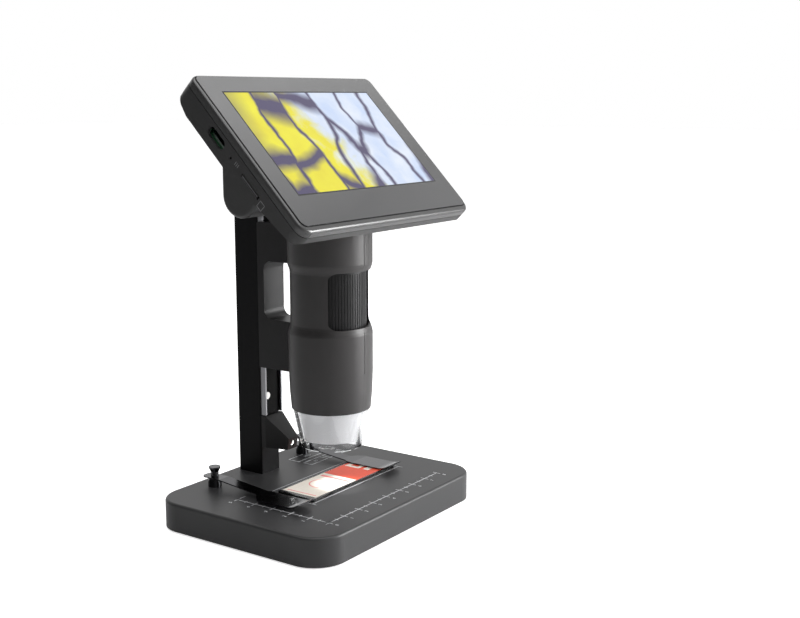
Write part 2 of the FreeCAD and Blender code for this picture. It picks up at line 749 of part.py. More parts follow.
def barrel_whole():
    """Both barrel halves and the hinge knuckle, before they are parted."""
    solid = barrel_outer()
    knuckle = rod(KNUCKLE_R, V(-KNUCKLE_HALF, HINGE_Y, HINGE_Z), V(KNUCKLE_HALF, HINGE_Y, HINGE_Z))
    neck = box(-KNUCKLE_HALF, KNUCKLE_HALF, HINGE_Y - NECK_FRONT, HINGE_Y + NECK_BACK,
               BARREL_TOP - BARREL_LID / 2, HINGE_Z)
    solid = solid.multiFuse([knuckle, neck]).cut(barrel_inner())
    solid = solid.cut(wheel_window())
    pin_bore = rod(HINGE_PIN_R + RUN_GAP, V(-KNUCKLE_HALF, HINGE_Y, HINGE_Z), V(KNUCKLE_HALF, HINGE_Y, HINGE_Z))
    solid = solid.cut(pin_bore)
    for z in BARREL_SCREW_Z:
        mid = barrel_screw_line(z)
        span = V(BARREL_SCREW_REACH + BARREL_BOSS_R, 0, 0)
        boss = rod(BARREL_BOSS_R, mid - span, mid + span)
        solid = solid.fuse(boss.common(barrel_outer()))
    for z in CARRIAGE_SCREW_Z:
        for side in (-1, 1):
            start = V(side * CARRIAGE_SCREW_X, BARREL_Y + SLEEVE_R + BARREL_WALL, z)
            lug = rod(LUG_R, start, V(start.x, BARREL_Y + BARREL_R - BARREL_WALL * 0.8, z))
            solid = solid.fuse(lug)
            hole = rod(SMALL_SCREW_R + RUN_GAP, start, V(start.x, BARREL_Y + BARREL_R + BARREL_WALL, z))
            solid = solid.cut(hole)
    return solid


def barrel_groove():
    """The cutter for the fine groove where the barrel halves meet, in front and behind."""
    room = BARREL_R + 5
    sheet = box(-SEAM_W, SEAM_W, BARREL_Y - room, BARREL_Y + room, BARREL_TAPER, BARREL_TOP - BARREL_EDGE * 1.5)
    core = rod(BARREL_R - SEAM_DEEP, barrel_axis(BARREL_LOW), barrel_axis(BARREL_TOP))
    return sheet.cut(core)


def make_barrel_half(whole, side):
    """One half of the barrel; side is -1 for the left half and 1 for the right."""
    room = BARREL_R + 5
    x0, x1 = (-room, 0) if side < 0 else (0, room)
    half = whole.common(box(x0, x1, BARREL_Y - room, BARREL_Y + room, BARREL_LOW - 1, HINGE_Z + LOBE_R))
    half = half.cut(barrel_groove())
    for z in BARREL_SCREW_Z:
        mid = barrel_screw_line(z)
        end = mid + V(side * BARREL_SCREW_REACH, 0, 0)
        half = half.cut(rod(SMALL_SCREW_R + RUN_GAP, mid - V(side * SMALL_SCREW_R, 0, 0), end))
        if side > 0:
            half = half.cut(rod(SMALL_SCREW_R * HEAD_RATIO + FIT_GAP, end, end + V(room, 0, 0)))
    return half


def make_barrel_screws():
    """Screws that draw the two barrel halves together."""
    group = []
    for z in BARREL_SCREW_Z:
        mid = barrel_screw_line(z)
        seat = mid + V(BARREL_SCREW_REACH, 0, 0)
        group.append(capped_screw(SMALL_SCREW_R, seat, mid - V(BARREL_SCREW_REACH - 1, 0, 0)))
    return Part.Compound(group)


def tip_radius(z):
    """The clear tip's outside radius at a height."""
    t = (z - TIP_LOW) / (BARREL_LOW - TIP_LOW)
    return TIP_END_R + (TIP_TOP_R - TIP_END_R) * t


def make_clear_tip():
    """The clear light-guide nose, with a spigot inside the barrel's mouth."""
    spigot_top = BARREL_LOW + TIP_SPIGOT
    spigot_in = TIP_SPIGOT_R - 1.4
    solid = turned([
        (TIP_END_R - TIP_WALL, TIP_LOW), (TIP_END_R, TIP_LOW), (TIP_TOP_R, BARREL_LOW),
        (TIP_SPIGOT_R, BARREL_LOW), (TIP_SPIGOT_R, spigot_top), (spigot_in, spigot_top),
        (TIP_TOP_R - TIP_WALL, BARREL_LOW),
    ])
    for side in (-1, 1):
        centre = polar(TIP_END_R, side * NOTCH_ANGLE, TIP_LOW)
        cutter = box(-NOTCH_W / 2, NOTCH_W / 2, -TIP_WALL * 2, TIP_WALL * 2, -1, NOTCH_H)
        cutter.rotate(V(0, 0, 0), V(0, 0, 1), side * NOTCH_ANGLE)
        cutter.translate(centre)
        solid = solid.cut(cutter)
    return solid


def make_diffuser():
    """The frosted liner inside the clear tip."""
    top = BARREL_LOW - FIT_GAP
    out_top = tip_radius(top) - TIP_WALL - FIT_GAP
    out_low = tip_radius(DIFFUSER_LOW) - TIP_WALL - FIT_GAP
    return turned([
        (out_low - DIFFUSER_T, DIFFUSER_LOW), (out_low, DIFFUSER_LOW), (out_top, top), (out_top - DIFFUSER_T, top),
    ])


def led_board_low():
    """Underside of the light ring's board."""
    return BARREL_LOW + LED_H + FIT_GAP


def make_led_board():
    """The ring-shaped board of the stage light."""
    low = led_board_low()
    outer = TIP_SPIGOT_R - 1.4 - FIT_GAP
    return ring(outer, LED_BOARD_HOLE, barrel_axis(low), barrel_axis(low + LED_BOARD_T))


def make_stage_leds():
    """The light-emitting diodes under the ring board."""
    low = led_board_low()
    group = []
    for i in range(LED_COUNT):
        angle = 360 * i / LED_COUNT
        group.append(rod(LED_R, polar(LED_RING_R, angle, low - LED_H), polar(LED_RING_R, angle, low)))
    return Part.Compound(group)


def make_guide_sleeve():
    """The fixed sleeve that the lens tube slides in and the focus wheel turns on."""
    sleeve = rod(SLEEVE_R, barrel_axis(SLEEVE_LOW), barrel_axis(SLEEVE_TOP))
    for z in FLANGE_Z:
        sleeve = sleeve.fuse(rod(BARREL_BORE - FIT_GAP, barrel_axis(z), barrel_axis(z + FLANGE_T)))
    sleeve = sleeve.cut(rod(TUBE_R + RUN_GAP, barrel_axis(SLEEVE_LOW), barrel_axis(SLEEVE_TOP)))
    reach = TUBE_TRAVEL + DRIVE_PIN_R + 0.8
    slot = box(-DRIVE_PIN_R - FIT_GAP, DRIVE_PIN_R + FIT_GAP, BARREL_Y, BARREL_Y + SLEEVE_R + 1,
               DRIVE_PIN_Z - reach, DRIVE_PIN_Z + reach)
    return sleeve.cut(slot).removeSplitter()


def make_focus_wheel():
    """The ribbed wheel in the barrel's window."""
    wheel = ring(WHEEL_R, SLEEVE_R + RUN_GAP, barrel_axis(WHEEL_LOW), barrel_axis(WHEEL_HIGH))
    reach = TUBE_TRAVEL + DRIVE_PIN_R + 1.4
    relief = rod(WHEEL_RELIEF_R, barrel_axis(DRIVE_PIN_Z - reach), barrel_axis(DRIVE_PIN_Z + reach))
    wheel = wheel.cut(relief)
    cutters = []
    for i in range(WHEEL_RIBS):
        angle = 360 * i / WHEEL_RIBS
        low = polar(WHEEL_R + 0.1, angle, WHEEL_LOW + 1.5)
        cutters.append(rod(WHEEL_RIB_DEPTH, low, low + V(0, 0, WHEEL_HIGH - WHEEL_LOW - 3)))
    return wheel.cut(cutters)


def make_lens_tube():
    """The sliding tube that carries the lenses, with its drive pin."""
    tube = ring(TUBE_R, TUBE_R - TUBE_WALL, barrel_axis(TUBE_LOW), barrel_axis(TUBE_TOP))
    start = V(0, BARREL_Y + TUBE_R - TUBE_WALL / 2, DRIVE_PIN_Z)
    pin = rod(DRIVE_PIN_R, start, V(0, BARREL_Y + WHEEL_RELIEF_R - SWING_GAP, DRIVE_PIN_Z))
    return tube.fuse(pin).removeSplitter()


def make_lens(z):
    """A lens disc seated in the tube."""
    return rod(TUBE_R - TUBE_WALL - RUN_GAP, barrel_axis(z), barrel_axis(z + LENS_T))


def make_lens_ring():
    """The ring that keeps the front lens in the tube."""
    bore = TUBE_R - TUBE_WALL - RUN_GAP
    low = TUBE_LOW + LENS_RING_T + LENS_T
    return ring(bore, bore - 1.4, barrel_axis(low), barrel_axis(low + LENS_RING_T))


def make_sensor_board():
    """The camera board that closes the top of the sleeve."""
    half = SENSOR_BOARD / 2
    return box(-half, half, BARREL_Y - half, BARREL_Y + half, SLEEVE_TOP, SLEEVE_TOP + BOARD_T)


def make_image_sensor():
    """The image sensor under the camera board."""
    half = SENSOR_CHIP / 2
    return box(-half, half, BARREL_Y - half, BARREL_Y + half, SLEEVE_TOP - 1.5, SLEEVE_TOP)


def make_carriage():
    """The bracket between column and barrel, with its finger window."""
    half = CARRIAGE_W / 2
    back = CARRIAGE_BACK
    solid = box(-half, half, BARREL_Y + BARREL_R / 2, back, CARRIAGE_LOW, CARRIAGE_TOP)
    solid = softened(solid, CARRIAGE_EDGE, lambda b: b.XLength > CARRIAGE_W - 0.01 and b.YMin > back - 0.01)
    room = CHANNEL_W / 2 + FIT_GAP
    solid = solid.cut(box(-room, room, FRONT_LIP - SLIDE_GAP, back, CARRIAGE_LOW, CARRIAGE_TOP))
    tongue = box(-TONGUE_W / 2, TONGUE_W / 2, FRONT_LIP - GRIP_REAR, FRONT_LIP + TONGUE_D, CARRIAGE_LOW, CARRIAGE_TOP)
    solid = solid.fuse(tongue)
    grip_back = FRONT_LIP - GRIP_REAR
    grip = box(-half, half, BARREL_Y, grip_back, GRIP_LOW, GRIP_HIGH)
    grip = softened(grip, GRIP_EDGE, lambda b: b.XLength > CARRIAGE_W - 0.01 and b.YMin > grip_back - 0.01)
    solid = solid.cut(grip)
    solid = solid.cut(rod(BARREL_R + FIT_GAP, barrel_axis(CARRIAGE_LOW), barrel_axis(CARRIAGE_TOP)))
    for z in CARRIAGE_SCREW_Z:
        for side in (-1, 1):
            x = side * CARRIAGE_SCREW_X
            near = V(x, BARREL_Y + BARREL_R / 2, z)
            seat = V(x, CARRIAGE_SCREW_SEAT, z)
            solid = solid.cut(rod(SMALL_SCREW_R + FIT_GAP, near, seat))
            solid = solid.cut(rod(SMALL_SCREW_R * HEAD_RATIO + FIT_GAP, seat, V(x, back, z)))
    inner = V(CHANNEL_W / 2, KNOB_Y, KNOB_Z)
    outer = V(half + KNOB_STANDOFF - SLIDE_GAP, KNOB_Y, KNOB_Z)
    boss = rod(KNOB_STEM_R * 1.8, inner + V(FIT_GAP, 0, 0), outer)
    solid = solid.fuse(boss.common(box(0, outer.x, BARREL_Y, back, CARRIAGE_LOW, CARRIAGE_TOP)))
    return solid.cut(rod(KNOB_STEM_R + RUN_GAP, inner, outer))


def make_carriage_screws():
    """Screws from the bracket into the barrel's back."""
    group = []
    for z in CARRIAGE_SCREW_Z:
        for side in (-1, 1):
            x = side * CARRIAGE_SCREW_X
            tip = V(x, BARREL_Y + SLEEVE_R + BARREL_WALL * 1.5, z)
            group.append(capped_screw(SMALL_SCREW_R, V(x, CARRIAGE_SCREW_SEAT, z), tip))
    return Part.Compound(group)


def make_lock_knob():
    """The fluted height lock with its stem."""
    x0 = CARRIAGE_W / 2 + KNOB_STANDOFF
    knob = rod(KNOB_R, V(x0, KNOB_Y, KNOB_Z), V(x0 + KNOB_T, KNOB_Y, KNOB_Z))
    knob = softened(knob, 0.8, lambda b: b.XMin > x0 + KNOB_T - 0.01)
    cutters = []
    for i in range(KNOB_FLUTES):
        a = 2 * math.pi * i / KNOB_FLUTES
        start = V(x0, KNOB_Y + KNOB_R * math.cos(a), KNOB_Z + KNOB_R * math.sin(a))
        cutters.append(rod(KNOB_FLUTE_R, start, start + V(KNOB_T, 0, 0)))
    knob = knob.cut(cutters)
    stem = rod(KNOB_STEM_R, V(CHANNEL_W / 2 + 2 * FIT_GAP, KNOB_Y, KNOB_Z), V(x0 + KNOB_STANDOFF, KNOB_Y, KNOB_Z))
    return knob.fuse(stem).removeSplitter()


def rear_profile(wall):
    """The head's side outline, in its own frame, drawn in by a wall all round."""
    top = HEAD_TOP - wall
    low = HEAD_BOTTOM + wall
    back = REAR_DEPTH + wall
    up, out = head_point(HINGE_Y + LOBE_R, HINGE_Z)
    return [
        (top, PARTING), (top - 0.8, back + 2 * SHOULDER - 2.6), (top - 0.35 * SHOULDER, back + 0.55 * SHOULDER),
        (top - SHOULDER, back + 0.26 * SHOULDER), (top - 2 * SHOULDER, back), (up, back),
        (-22.0, LOWER_DEPTH + wall), (low + 1.4, TOE_DEPTH + wall), (low, TOE_DEPTH + 1.6 + wall), (low, PARTING),
    ]


def lobe_solid(x0, x1):
    """One round lobe behind the head, from the hinge circle up to the rear face."""
    up, out = head_point(HINGE_Y, HINGE_Z)
    circle = rod(LOBE_R, V(x0, up, out), V(x1, up, out))
    heel = head_point(HINGE_Y + LOBE_R, HINGE_Z)
    meet = head_point(HINGE_Y + LOBE_R, HINGE_Z + 11.6)
    fill = side_prism([(up, out), heel, meet, (up, REAR_DEPTH + 2)], x0, x1)
    return circle.fuse(fill)


def make_rear_shell():
    """The head's rear housing, with two hinge lobes and a pocket for the knuckle."""
    body = side_prism(rear_profile(0), -HEAD_SIDE, HEAD_SIDE)
    plan = slab(HEAD_W, HEAD_BOTTOM, HEAD_TOP, HEAD_CORNER, REAR_DEPTH - 1, PARTING + 1)
    body = body.common(plan)
    inner_x = KNUCKLE_HALF + KNUCKLE_SIDE_GAP
    up, out = head_point(HINGE_Y, HINGE_Z)
    for side in (-1, 1):
        lobe = lobe_solid(inner_x, HEAD_SIDE)
        lobe = softened(lobe.removeSplitter(), 1.5, lambda b: b.XMin > HEAD_SIDE - 0.01 and b.ZMin < REAR_DEPTH)
        body = body.fuse(lobe if side > 0 else mirrored_x(lobe))
    hollow = side_prism([(y, z if z < PARTING else PARTING + 1) for y, z in rear_profile(HEAD_WALL)],
                        -HEAD_SIDE + HEAD_WALL, HEAD_SIDE - HEAD_WALL)
    body = body.cut(hollow)
    for side in (-1, 1):
        a = side * (inner_x + HEAD_WALL)
        b = side * (HEAD_SIDE - HEAD_WALL)
        body = body.cut(rod(LOBE_R - LOBE_WALL, V(a, up, out), V(b, up, out)))
        wall = rod(LOBE_R - LOBE_WALL + 0.4, V(side * inner_x, up, out), V(a, up, out))
        body = body.fuse(wall)
    shield = rod(POCKET_R + POCKET_WALL, V(-inner_x - HEAD_WALL, up, out), V(inner_x + HEAD_WALL, up, out))
    inside = box(-HEAD_SIDE, HEAD_SIDE, HEAD_BOTTOM, HEAD_TOP, REAR_DEPTH + HEAD_WALL, PARTING)
    body = body.fuse(shield.common(inside))
    body = body.cut(rod(POCKET_R, V(-inner_x, up, out), V(inner_x, up, out)))
    body = body.cut(rod(HINGE_PIN_R + FIT_GAP, V(-HEAD_SIDE / 2, up, out), V(HEAD_SIDE / 2, up, out)))
    return cut_rear_details(body)


def cut_rear_details(body):
    """Add the screw bosses and cut the port, card slot, pinhole and key holes."""
    deep = REAR_DEPTH + HEAD_WALL
    for x in (-HEAD_SCREW_X, HEAD_SCREW_X):
        for y in HEAD_SCREW_Y:
            low = deep if y > 0 else TOE_DEPTH + HEAD_WALL / 2
            body = body.fuse(rod(HEAD_SCREW_BOSS, V(x, y, low), V(x, y, PARTING)))
            seat = head_screw_seat(y)
            body = body.cut(rod(SMALL_SCREW_R + FIT_GAP, V(x, y, REAR_DEPTH - 1), V(x, y, PARTING)))
            body = body.cut(rod(SMALL_SCREW_R * HEAD_RATIO + FIT_GAP, V(x, y, REAR_DEPTH - 1), V(x, y, seat)))
    side = -HEAD_SIDE
    r = PORT_H / 2
    run = PORT_L / 2 - r
    port = box(side - 1, side + HEAD_WALL + 1, PORT_Y - run, PORT_Y + run, PORT_DEPTH - r, PORT_DEPTH + r)
    for y in (PORT_Y - run, PORT_Y + run):
        port = port.fuse(rod(r, V(side - 1, y, PORT_DEPTH), V(side + HEAD_WALL + 1, y, PORT_DEPTH)))
    body = body.cut(port)
    half = CARD_W / 2 + CARD_SLOT_GROW
    thick = CARD_T / 2 + CARD_GAP
    body = body.cut(box(side - 1, side + HEAD_WALL + 1, CARD_Y - half, CARD_Y + half,
                        CARD_DEPTH - thick, CARD_DEPTH + thick))
    body = body.cut(rod(PINHOLE_R, V(side - 1, PINHOLE_Y, PORT_DEPTH), V(side + HEAD_WALL + 1, PINHOLE_Y, PORT_DEPTH)))
    for y in key_places():
        body = body.cut(rod(KEY_R + FIT_GAP, V(HEAD_SIDE - HEAD_WALL - 1, y, KEY_DEPTH), V(HEAD_SIDE + 1, y, KEY_DEPTH)))
    return body.removeSplitter()


def head_screw_seat(y):
    """Where a head screw's head rests, measured along the head's depth."""
    return (REAR_DEPTH if y > 0 else TOE_DEPTH) + HEAD_SCREW_SINK


def key_places():
    """Places of the keys up the head's right side."""
    return [KEY_TOP - KEY_PITCH * i for i in range(len(KEY_NAMES))]


def make_front_bezel():
    """The frame round the glass, with the ledge that the glass lies on."""
    frame = slab(HEAD_W, HEAD_BOTTOM, HEAD_TOP, HEAD_CORNER, PARTING, RIM_FRONT)
    frame = softened(frame, RIM_EDGE, lambda b: b.ZMin > RIM_FRONT - 0.01)
    well = slab(GLASS_W + 2 * GLASS_GAP, GLASS_BOTTOM - GLASS_GAP, GLASS_TOP + GLASS_GAP,
                GLASS_CORNER + GLASS_GAP, GLASS_BACK, RIM_FRONT + 1)
    frame = frame.cut(well)
    mouth = slab(LCD_W + 2 * LEDGE_GAP, LCD_BOTTOM - LEDGE_GAP, LCD_TOP + LEDGE_GAP, 1.0, PARTING, RIM_FRONT)
    frame = frame.cut(mouth)
    wide = slab(HEAD_W + 2, HEAD_BOTTOM - 1, HEAD_TOP + 1, HEAD_CORNER, PARTING, PARTING + 2 * SEAM_W)
    core = slab(HEAD_W - 2 * SEAM_DEEP, HEAD_BOTTOM + SEAM_DEEP, HEAD_TOP - SEAM_DEEP, HEAD_CORNER - SEAM_DEEP,
                PARTING, PARTING + 2 * SEAM_W)
    frame = frame.cut(wide.cut(core))
    for x in (-HEAD_SCREW_X, HEAD_SCREW_X):
        for y in HEAD_SCREW_Y:
            frame = frame.cut(rod(SMALL_SCREW_R + RUN_GAP, V(x, y, PARTING), V(x, y, GLASS_BACK - 0.6)))
    return frame


def make_display_glass():
    """The cover glass."""
    return slab(GLASS_W, GLASS_BOTTOM, GLASS_TOP, GLASS_CORNER, GLASS_BACK, GLASS_FRONT)


def make_lcd_module():
    """The screen module behind the glass."""
    return slab(LCD_W, LCD_BOTTOM, LCD_TOP, 0.8, GLASS_BACK - LCD_T, GLASS_BACK)


def make_battery():
    """The flat cell behind the screen."""
    y0 = (HEAD_BOARD_LOW + HEAD_BOARD_HIGH - BATTERY_W) / 2
    back = HEAD_BOARD_FRONT + FIT_GAP
    cell = slab(BATTERY_L, y0, y0 + BATTERY_W, 2.0, back, back + BATTERY_T)
    return cell


def make_main_board():
    """The main circuit board with its chips on the rear side."""
    back = HEAD_BOARD_FRONT - BOARD_T
    board = box(-HEAD_SIDE + HEAD_BOARD_LEFT, HEAD_SIDE - HEAD_BOARD_RIGHT, HEAD_BOARD_LOW, HEAD_BOARD_HIGH,
                back, HEAD_BOARD_FRONT)
    mid_y = (HEAD_BOARD_LOW + HEAD_BOARD_HIGH) / 2
    for x, w in ((-22, 12), (2, 14), (26, 10)):
        board = board.fuse(box(x - w / 2, x + w / 2, mid_y - w / 2, mid_y + w / 2, back - 0.9, back))
    return board


def make_side_board():
    """The small board that carries the port and the card socket."""
    x0 = -HEAD_SIDE + HEAD_WALL + FIT_GAP
    return box(x0, x0 + SIDE_BOARD_L, SIDE_BOARD_LOW, SIDE_BOARD_HIGH, SIDE_BOARD_FRONT - BOARD_T, SIDE_BOARD_FRONT)


def make_usb_port():
    """The metal shell of the charging and data port, with its tongue."""
    x0 = -HEAD_SIDE + HEAD_WALL + PORT_RECESS
    low = SIDE_BOARD_FRONT
    high = 2 * PORT_DEPTH - low
    half = PORT_L / 2 - 0.6
    shell = box(x0, x0 + PORT_BODY, PORT_Y - half, PORT_Y + half, low, high)
    cave = box(x0, x0 + PORT_BODY - 1.5, PORT_Y - half + PORT_SHELL, PORT_Y + half - PORT_SHELL,
               low + PORT_SHELL, high - PORT_SHELL)
    tongue = box(x0 + 0.8, x0 + PORT_BODY - 1, PORT_Y - half + 1.6, PORT_Y + half - 1.6,
                 PORT_DEPTH - 0.35, PORT_DEPTH + 0.35)
    return shell.cut(cave).fuse(tongue)


def make_card_socket():
    """The sleeve that the memory card goes into."""
    x0 = -HEAD_SIDE + HEAD_WALL + FIT_GAP
    length = CARD_L
    block = box(x0, x0 + length + 1, CARD_Y - SOCKET_W / 2, CARD_Y + SOCKET_W / 2, SOCKET_LOW, SOCKET_HIGH)
    half = CARD_W / 2 + CARD_GAP
    thick = CARD_T / 2 + CARD_GAP
    return block.cut(box(x0, x0 + length, CARD_Y - half, CARD_Y + half, CARD_DEPTH - thick, CARD_DEPTH + thick))


def make_memory_card():
    """The memory card in its socket, its edge just proud of the side."""
    x0 = -HEAD_SIDE - CARD_PROUD
    half = CARD_W / 2
    card = box(x0, x0 + CARD_L, CARD_Y - half, CARD_Y + half, CARD_DEPTH - CARD_T / 2, CARD_DEPTH + CARD_T / 2)
    return softened(card, 0.4, lambda b: b.XMax < x0 + 0.01 and b.YLength > CARD_W - 0.01)


def make_key_board():
    """The narrow board behind the keys, with one switch for each."""
    top = HEAD_SIDE - HEAD_WALL - KEY_FLANGE_T - KEY_TRAVEL - 2 * FIT_GAP
    places = key_places()
    low = LOWER_DEPTH + HEAD_WALL + 0.4
    board = box(top - 1.6, top - 0.6, min(places) - KEY_R, max(places) + KEY_R, low, PARTING - 0.8)
    for y in key_places():
        board = board.fuse(rod(1.0, V(top - 0.7, y, KEY_DEPTH), V(top, y, KEY_DEPTH)))
    return board


def make_key(y):
    """One round side key with its inner flange."""
    inner = HEAD_SIDE - HEAD_WALL - FIT_GAP
    cap = rod(KEY_R, V(inner - KEY_FLANGE_T, y, KEY_DEPTH), V(HEAD_SIDE + KEY_PROUD, y, KEY_DEPTH))
    cap = softened(cap, 0.3, lambda b: b.XMin > HEAD_SIDE + KEY_PROUD - 0.01)
    flange = rod(KEY_R + KEY_FLANGE, V(inner - KEY_FLANGE_T, y, KEY_DEPTH), V(inner, y, KEY_DEPTH))
    return cap.fuse(flange).removeSplitter()


def make_head_screws():
    """Screws that hold the two head housings together."""
    group = []
    for x in (-HEAD_SCREW_X, HEAD_SCREW_X):
        for y in HEAD_SCREW_Y:
            tip = V(x, y, GLASS_BACK - 1.0)
            group.append(capped_screw(SMALL_SCREW_R, V(x, y, head_screw_seat(y)), tip))
    return Part.Compound(group)


def hinge_bush_start():
    """Where a bush begins, inside the lobe's end wall."""
    return KNUCKLE_HALF + KNUCKLE_SIDE_GAP + HEAD_WALL


def make_hinge_pin():
    """The steel pin through the knuckle and both bushes."""
    reach = hinge_bush_start() + BUSH_L
    return rod(HINGE_PIN_R, V(-reach, HINGE_Y, HINGE_Z), V(reach, HINGE_Y, HINGE_Z))


def make_hinge_bushes():
    """The two bushes that grip the pin inside the lobes."""
    a = hinge_bush_start()
    outer = LOBE_R - LOBE_WALL - FIT_GAP
    bush = ring(outer, HINGE_PIN_R + RUN_GAP, V(a, HINGE_Y, HINGE_Z), V(a + BUSH_L, HINGE_Y, HINGE_Z))
    return Part.Compound([bush, mirrored_x(bush)])


def stand_pieces():
    """Every piece of the base, the column and the stage."""
    return {
        "base_shell": make_base_shell(),
        "base_plate": make_base_plate(),
        "base_feet": make_base_feet(),
        "base_screws": make_base_screws(),
        "ballast_weight": make_ballast(),
        "column": make_column(),
        "column_cap": make_column_cap(),
        "column_screws": make_column_screws(),
        "guide_channel": make_guide_channel(),
        "channel_strip": make_channel_strip(),
        "channel_screws": make_channel_screws(),
        "lamp_housing": make_lamp_housing(),
        "lamp_lens": make_lamp_lens(),
        "lamp_board": make_lamp_board(),
        "clip_posts": make_clip_posts(),
        "stage_clip_left": make_clip(-1),
        "stage_clip_right": make_clip(1),
        "specimen_slide": make_specimen_slide(),
        "slide_label": make_slide_label(),
    }


def barrel_pieces():
    """Every piece of the carriage, the barrel and the focus train."""
    whole = barrel_whole()
    return {
        "carriage": make_carriage(),
        "carriage_screws": make_carriage_screws(),
        "lock_knob": make_lock_knob(),
        "barrel_left": make_barrel_half(whole, -1),
        "barrel_right": make_barrel_half(whole, 1),
        "barrel_screws": make_barrel_screws(),
        "clear_tip": make_clear_tip(),
        "tip_diffuser": make_diffuser(),
        "led_board": make_led_board(),
        "stage_leds": make_stage_leds(),
        "guide_sleeve": make_guide_sleeve(),
        "focus_wheel": make_focus_wheel(),
        "lens_tube": make_lens_tube(),
        "front_lens": make_lens(TUBE_LOW + LENS_RING_T),
        "rear_lens": make_lens(REAR_LENS_Z),
        "lens_ring": make_lens_ring(),
        "sensor_board": make_sensor_board(),
        "image_sensor": make_image_sensor(),
        "hinge_pin": make_hinge_pin(),
        "hinge_bushes": make_hinge_bushes(),
    }


def head_pieces():
    """Every piece of the screen head, seated at its lean."""
    local = {
        "rear_shell": make_rear_shell(),
        "front_bezel": make_front_bezel(),
        "display_glass": make_display_glass(),
        "lcd_module": make_lcd_module(),
        "battery": make_battery(),
        "main_board": make_main_board(),
        "side_board": make_side_board(),
        "usb_port": make_usb_port(),
        "card_socket": make_card_socket(),
        "memory_card": make_memory_card(),
        "key_board": make_key_board(),
        "head_screws": make_head_screws(),
    }
    for name, y in zip(KEY_NAMES, key_places()):
        local[name] = make_key(y)
    return {name: seat_head(solid) for name, solid in local.items()}


def main():
    """Build every piece and write one file for each."""
    os.makedirs("parts", exist_ok=True)
    pieces = stand_pieces()
    pieces.update(barrel_pieces())
    pieces.update(head_pieces())
    for name, solid in pieces.items():
        if not solid.isValid():
            print("not valid:", name)
        print(f"{name:18s} solids {len(solid.Solids)} volume {solid.Volume:10.1f}")
        solid.exportStep(f"parts/{name}.step")


main()
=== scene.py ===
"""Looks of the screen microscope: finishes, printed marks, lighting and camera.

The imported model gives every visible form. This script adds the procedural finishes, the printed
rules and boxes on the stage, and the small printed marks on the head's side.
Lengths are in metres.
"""

import logging
import math
from dataclasses import dataclass, field
from enum import Enum

import bpy
from mathutils import Euler, Matrix, Vector


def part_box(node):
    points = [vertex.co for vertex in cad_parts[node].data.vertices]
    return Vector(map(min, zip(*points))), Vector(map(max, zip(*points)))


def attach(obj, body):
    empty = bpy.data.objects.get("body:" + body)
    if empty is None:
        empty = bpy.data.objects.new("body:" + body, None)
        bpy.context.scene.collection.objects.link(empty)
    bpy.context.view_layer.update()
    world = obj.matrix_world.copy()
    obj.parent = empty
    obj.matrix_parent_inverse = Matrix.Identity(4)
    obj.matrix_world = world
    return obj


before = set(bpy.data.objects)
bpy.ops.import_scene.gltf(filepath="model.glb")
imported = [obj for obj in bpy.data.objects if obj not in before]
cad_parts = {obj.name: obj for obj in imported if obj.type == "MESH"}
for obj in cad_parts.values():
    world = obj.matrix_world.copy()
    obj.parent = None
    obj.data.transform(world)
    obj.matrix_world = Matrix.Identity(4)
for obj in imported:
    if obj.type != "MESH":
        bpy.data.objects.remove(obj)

LOG = logging.getLogger("microscope")
MM = 0.001

# The screen head's own axes: how far they lean back, and where they start.
LEAN = math.radians(45.7)
HEAD_ORIGIN = Vector((0.0, -0.00945, 0.16533))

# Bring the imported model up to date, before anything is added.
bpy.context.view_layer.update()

# What plain finishes share: scale of the slow tone, scale of a brushed grain along each axis,
# roughness of a clear coat, and index of refraction.
TONE_SCALE = 28.0
BRUSHED = (1.0, 1.0, 0.03)
COAT_ROUGHNESS = 0.08
PLASTIC_IOR = 1.49

# The pale floor: its reach from the middle, its tone, and its own light with what is added where
# the camera sees it.
FLOOR_REACH = 6.0
FLOOR_SCALE = 60.0
FLOOR_TONES = ((0.90, 0.90, 0.91, 1), (0.93, 0.93, 0.935, 1))
FLOOR_ROUGHNESS = 0.5
FLOOR_LIGHT = (0.05, 0.65)

# Corners of a box's sides, the four lower corners counted first.
BOX_SIDES = ((3, 2, 1, 0), (4, 5, 6, 7), (0, 1, 5, 4), (1, 2, 6, 5), (2, 3, 7, 6), (3, 0, 4, 7))

# Left, right, low and high edge of a rectangle, and a colour with its alpha.
Area = tuple[float, float, float, float]
Colour = tuple[float, float, float, float]


class Surface(Enum):
    """How a finish answers light."""

    PLAIN = "plain"
    METAL = "metal"
    CLEAR = "clear"
    GLOW = "glow"


class Grain(Enum):
    """The pattern laid over a finish."""

    FINE = "fine"
    BRUSHED = "brushed"
    CAST = "cast"
    SMOOTH = "smooth"


@dataclass(frozen=True)
class Finish:
    """One procedural finish.

    Attributes:
        colour: Linear base colour.
        roughness: Mean roughness.
        surface: How the finish answers light.
        grain: The pattern laid over it.
        grain_size: Size of the pattern's cells, in metres.
        depth: Height of the pattern, in metres.
        tone: Share by which the colour and roughness wander.
        coat: Weight of a clear coat.
        glow: Strength of its own light.
        shine: Level of the mirror-like part.
    """

    colour: tuple[float, float, float]
    roughness: float = 0.45
    surface: Surface = Surface.PLAIN
    grain: Grain = Grain.FINE
    grain_size: float = 0.0004
    depth: float = 0.00001
    tone: float = 0.08
    coat: float = 0.0
    glow: float = 0.0
    shine: float = 0.5


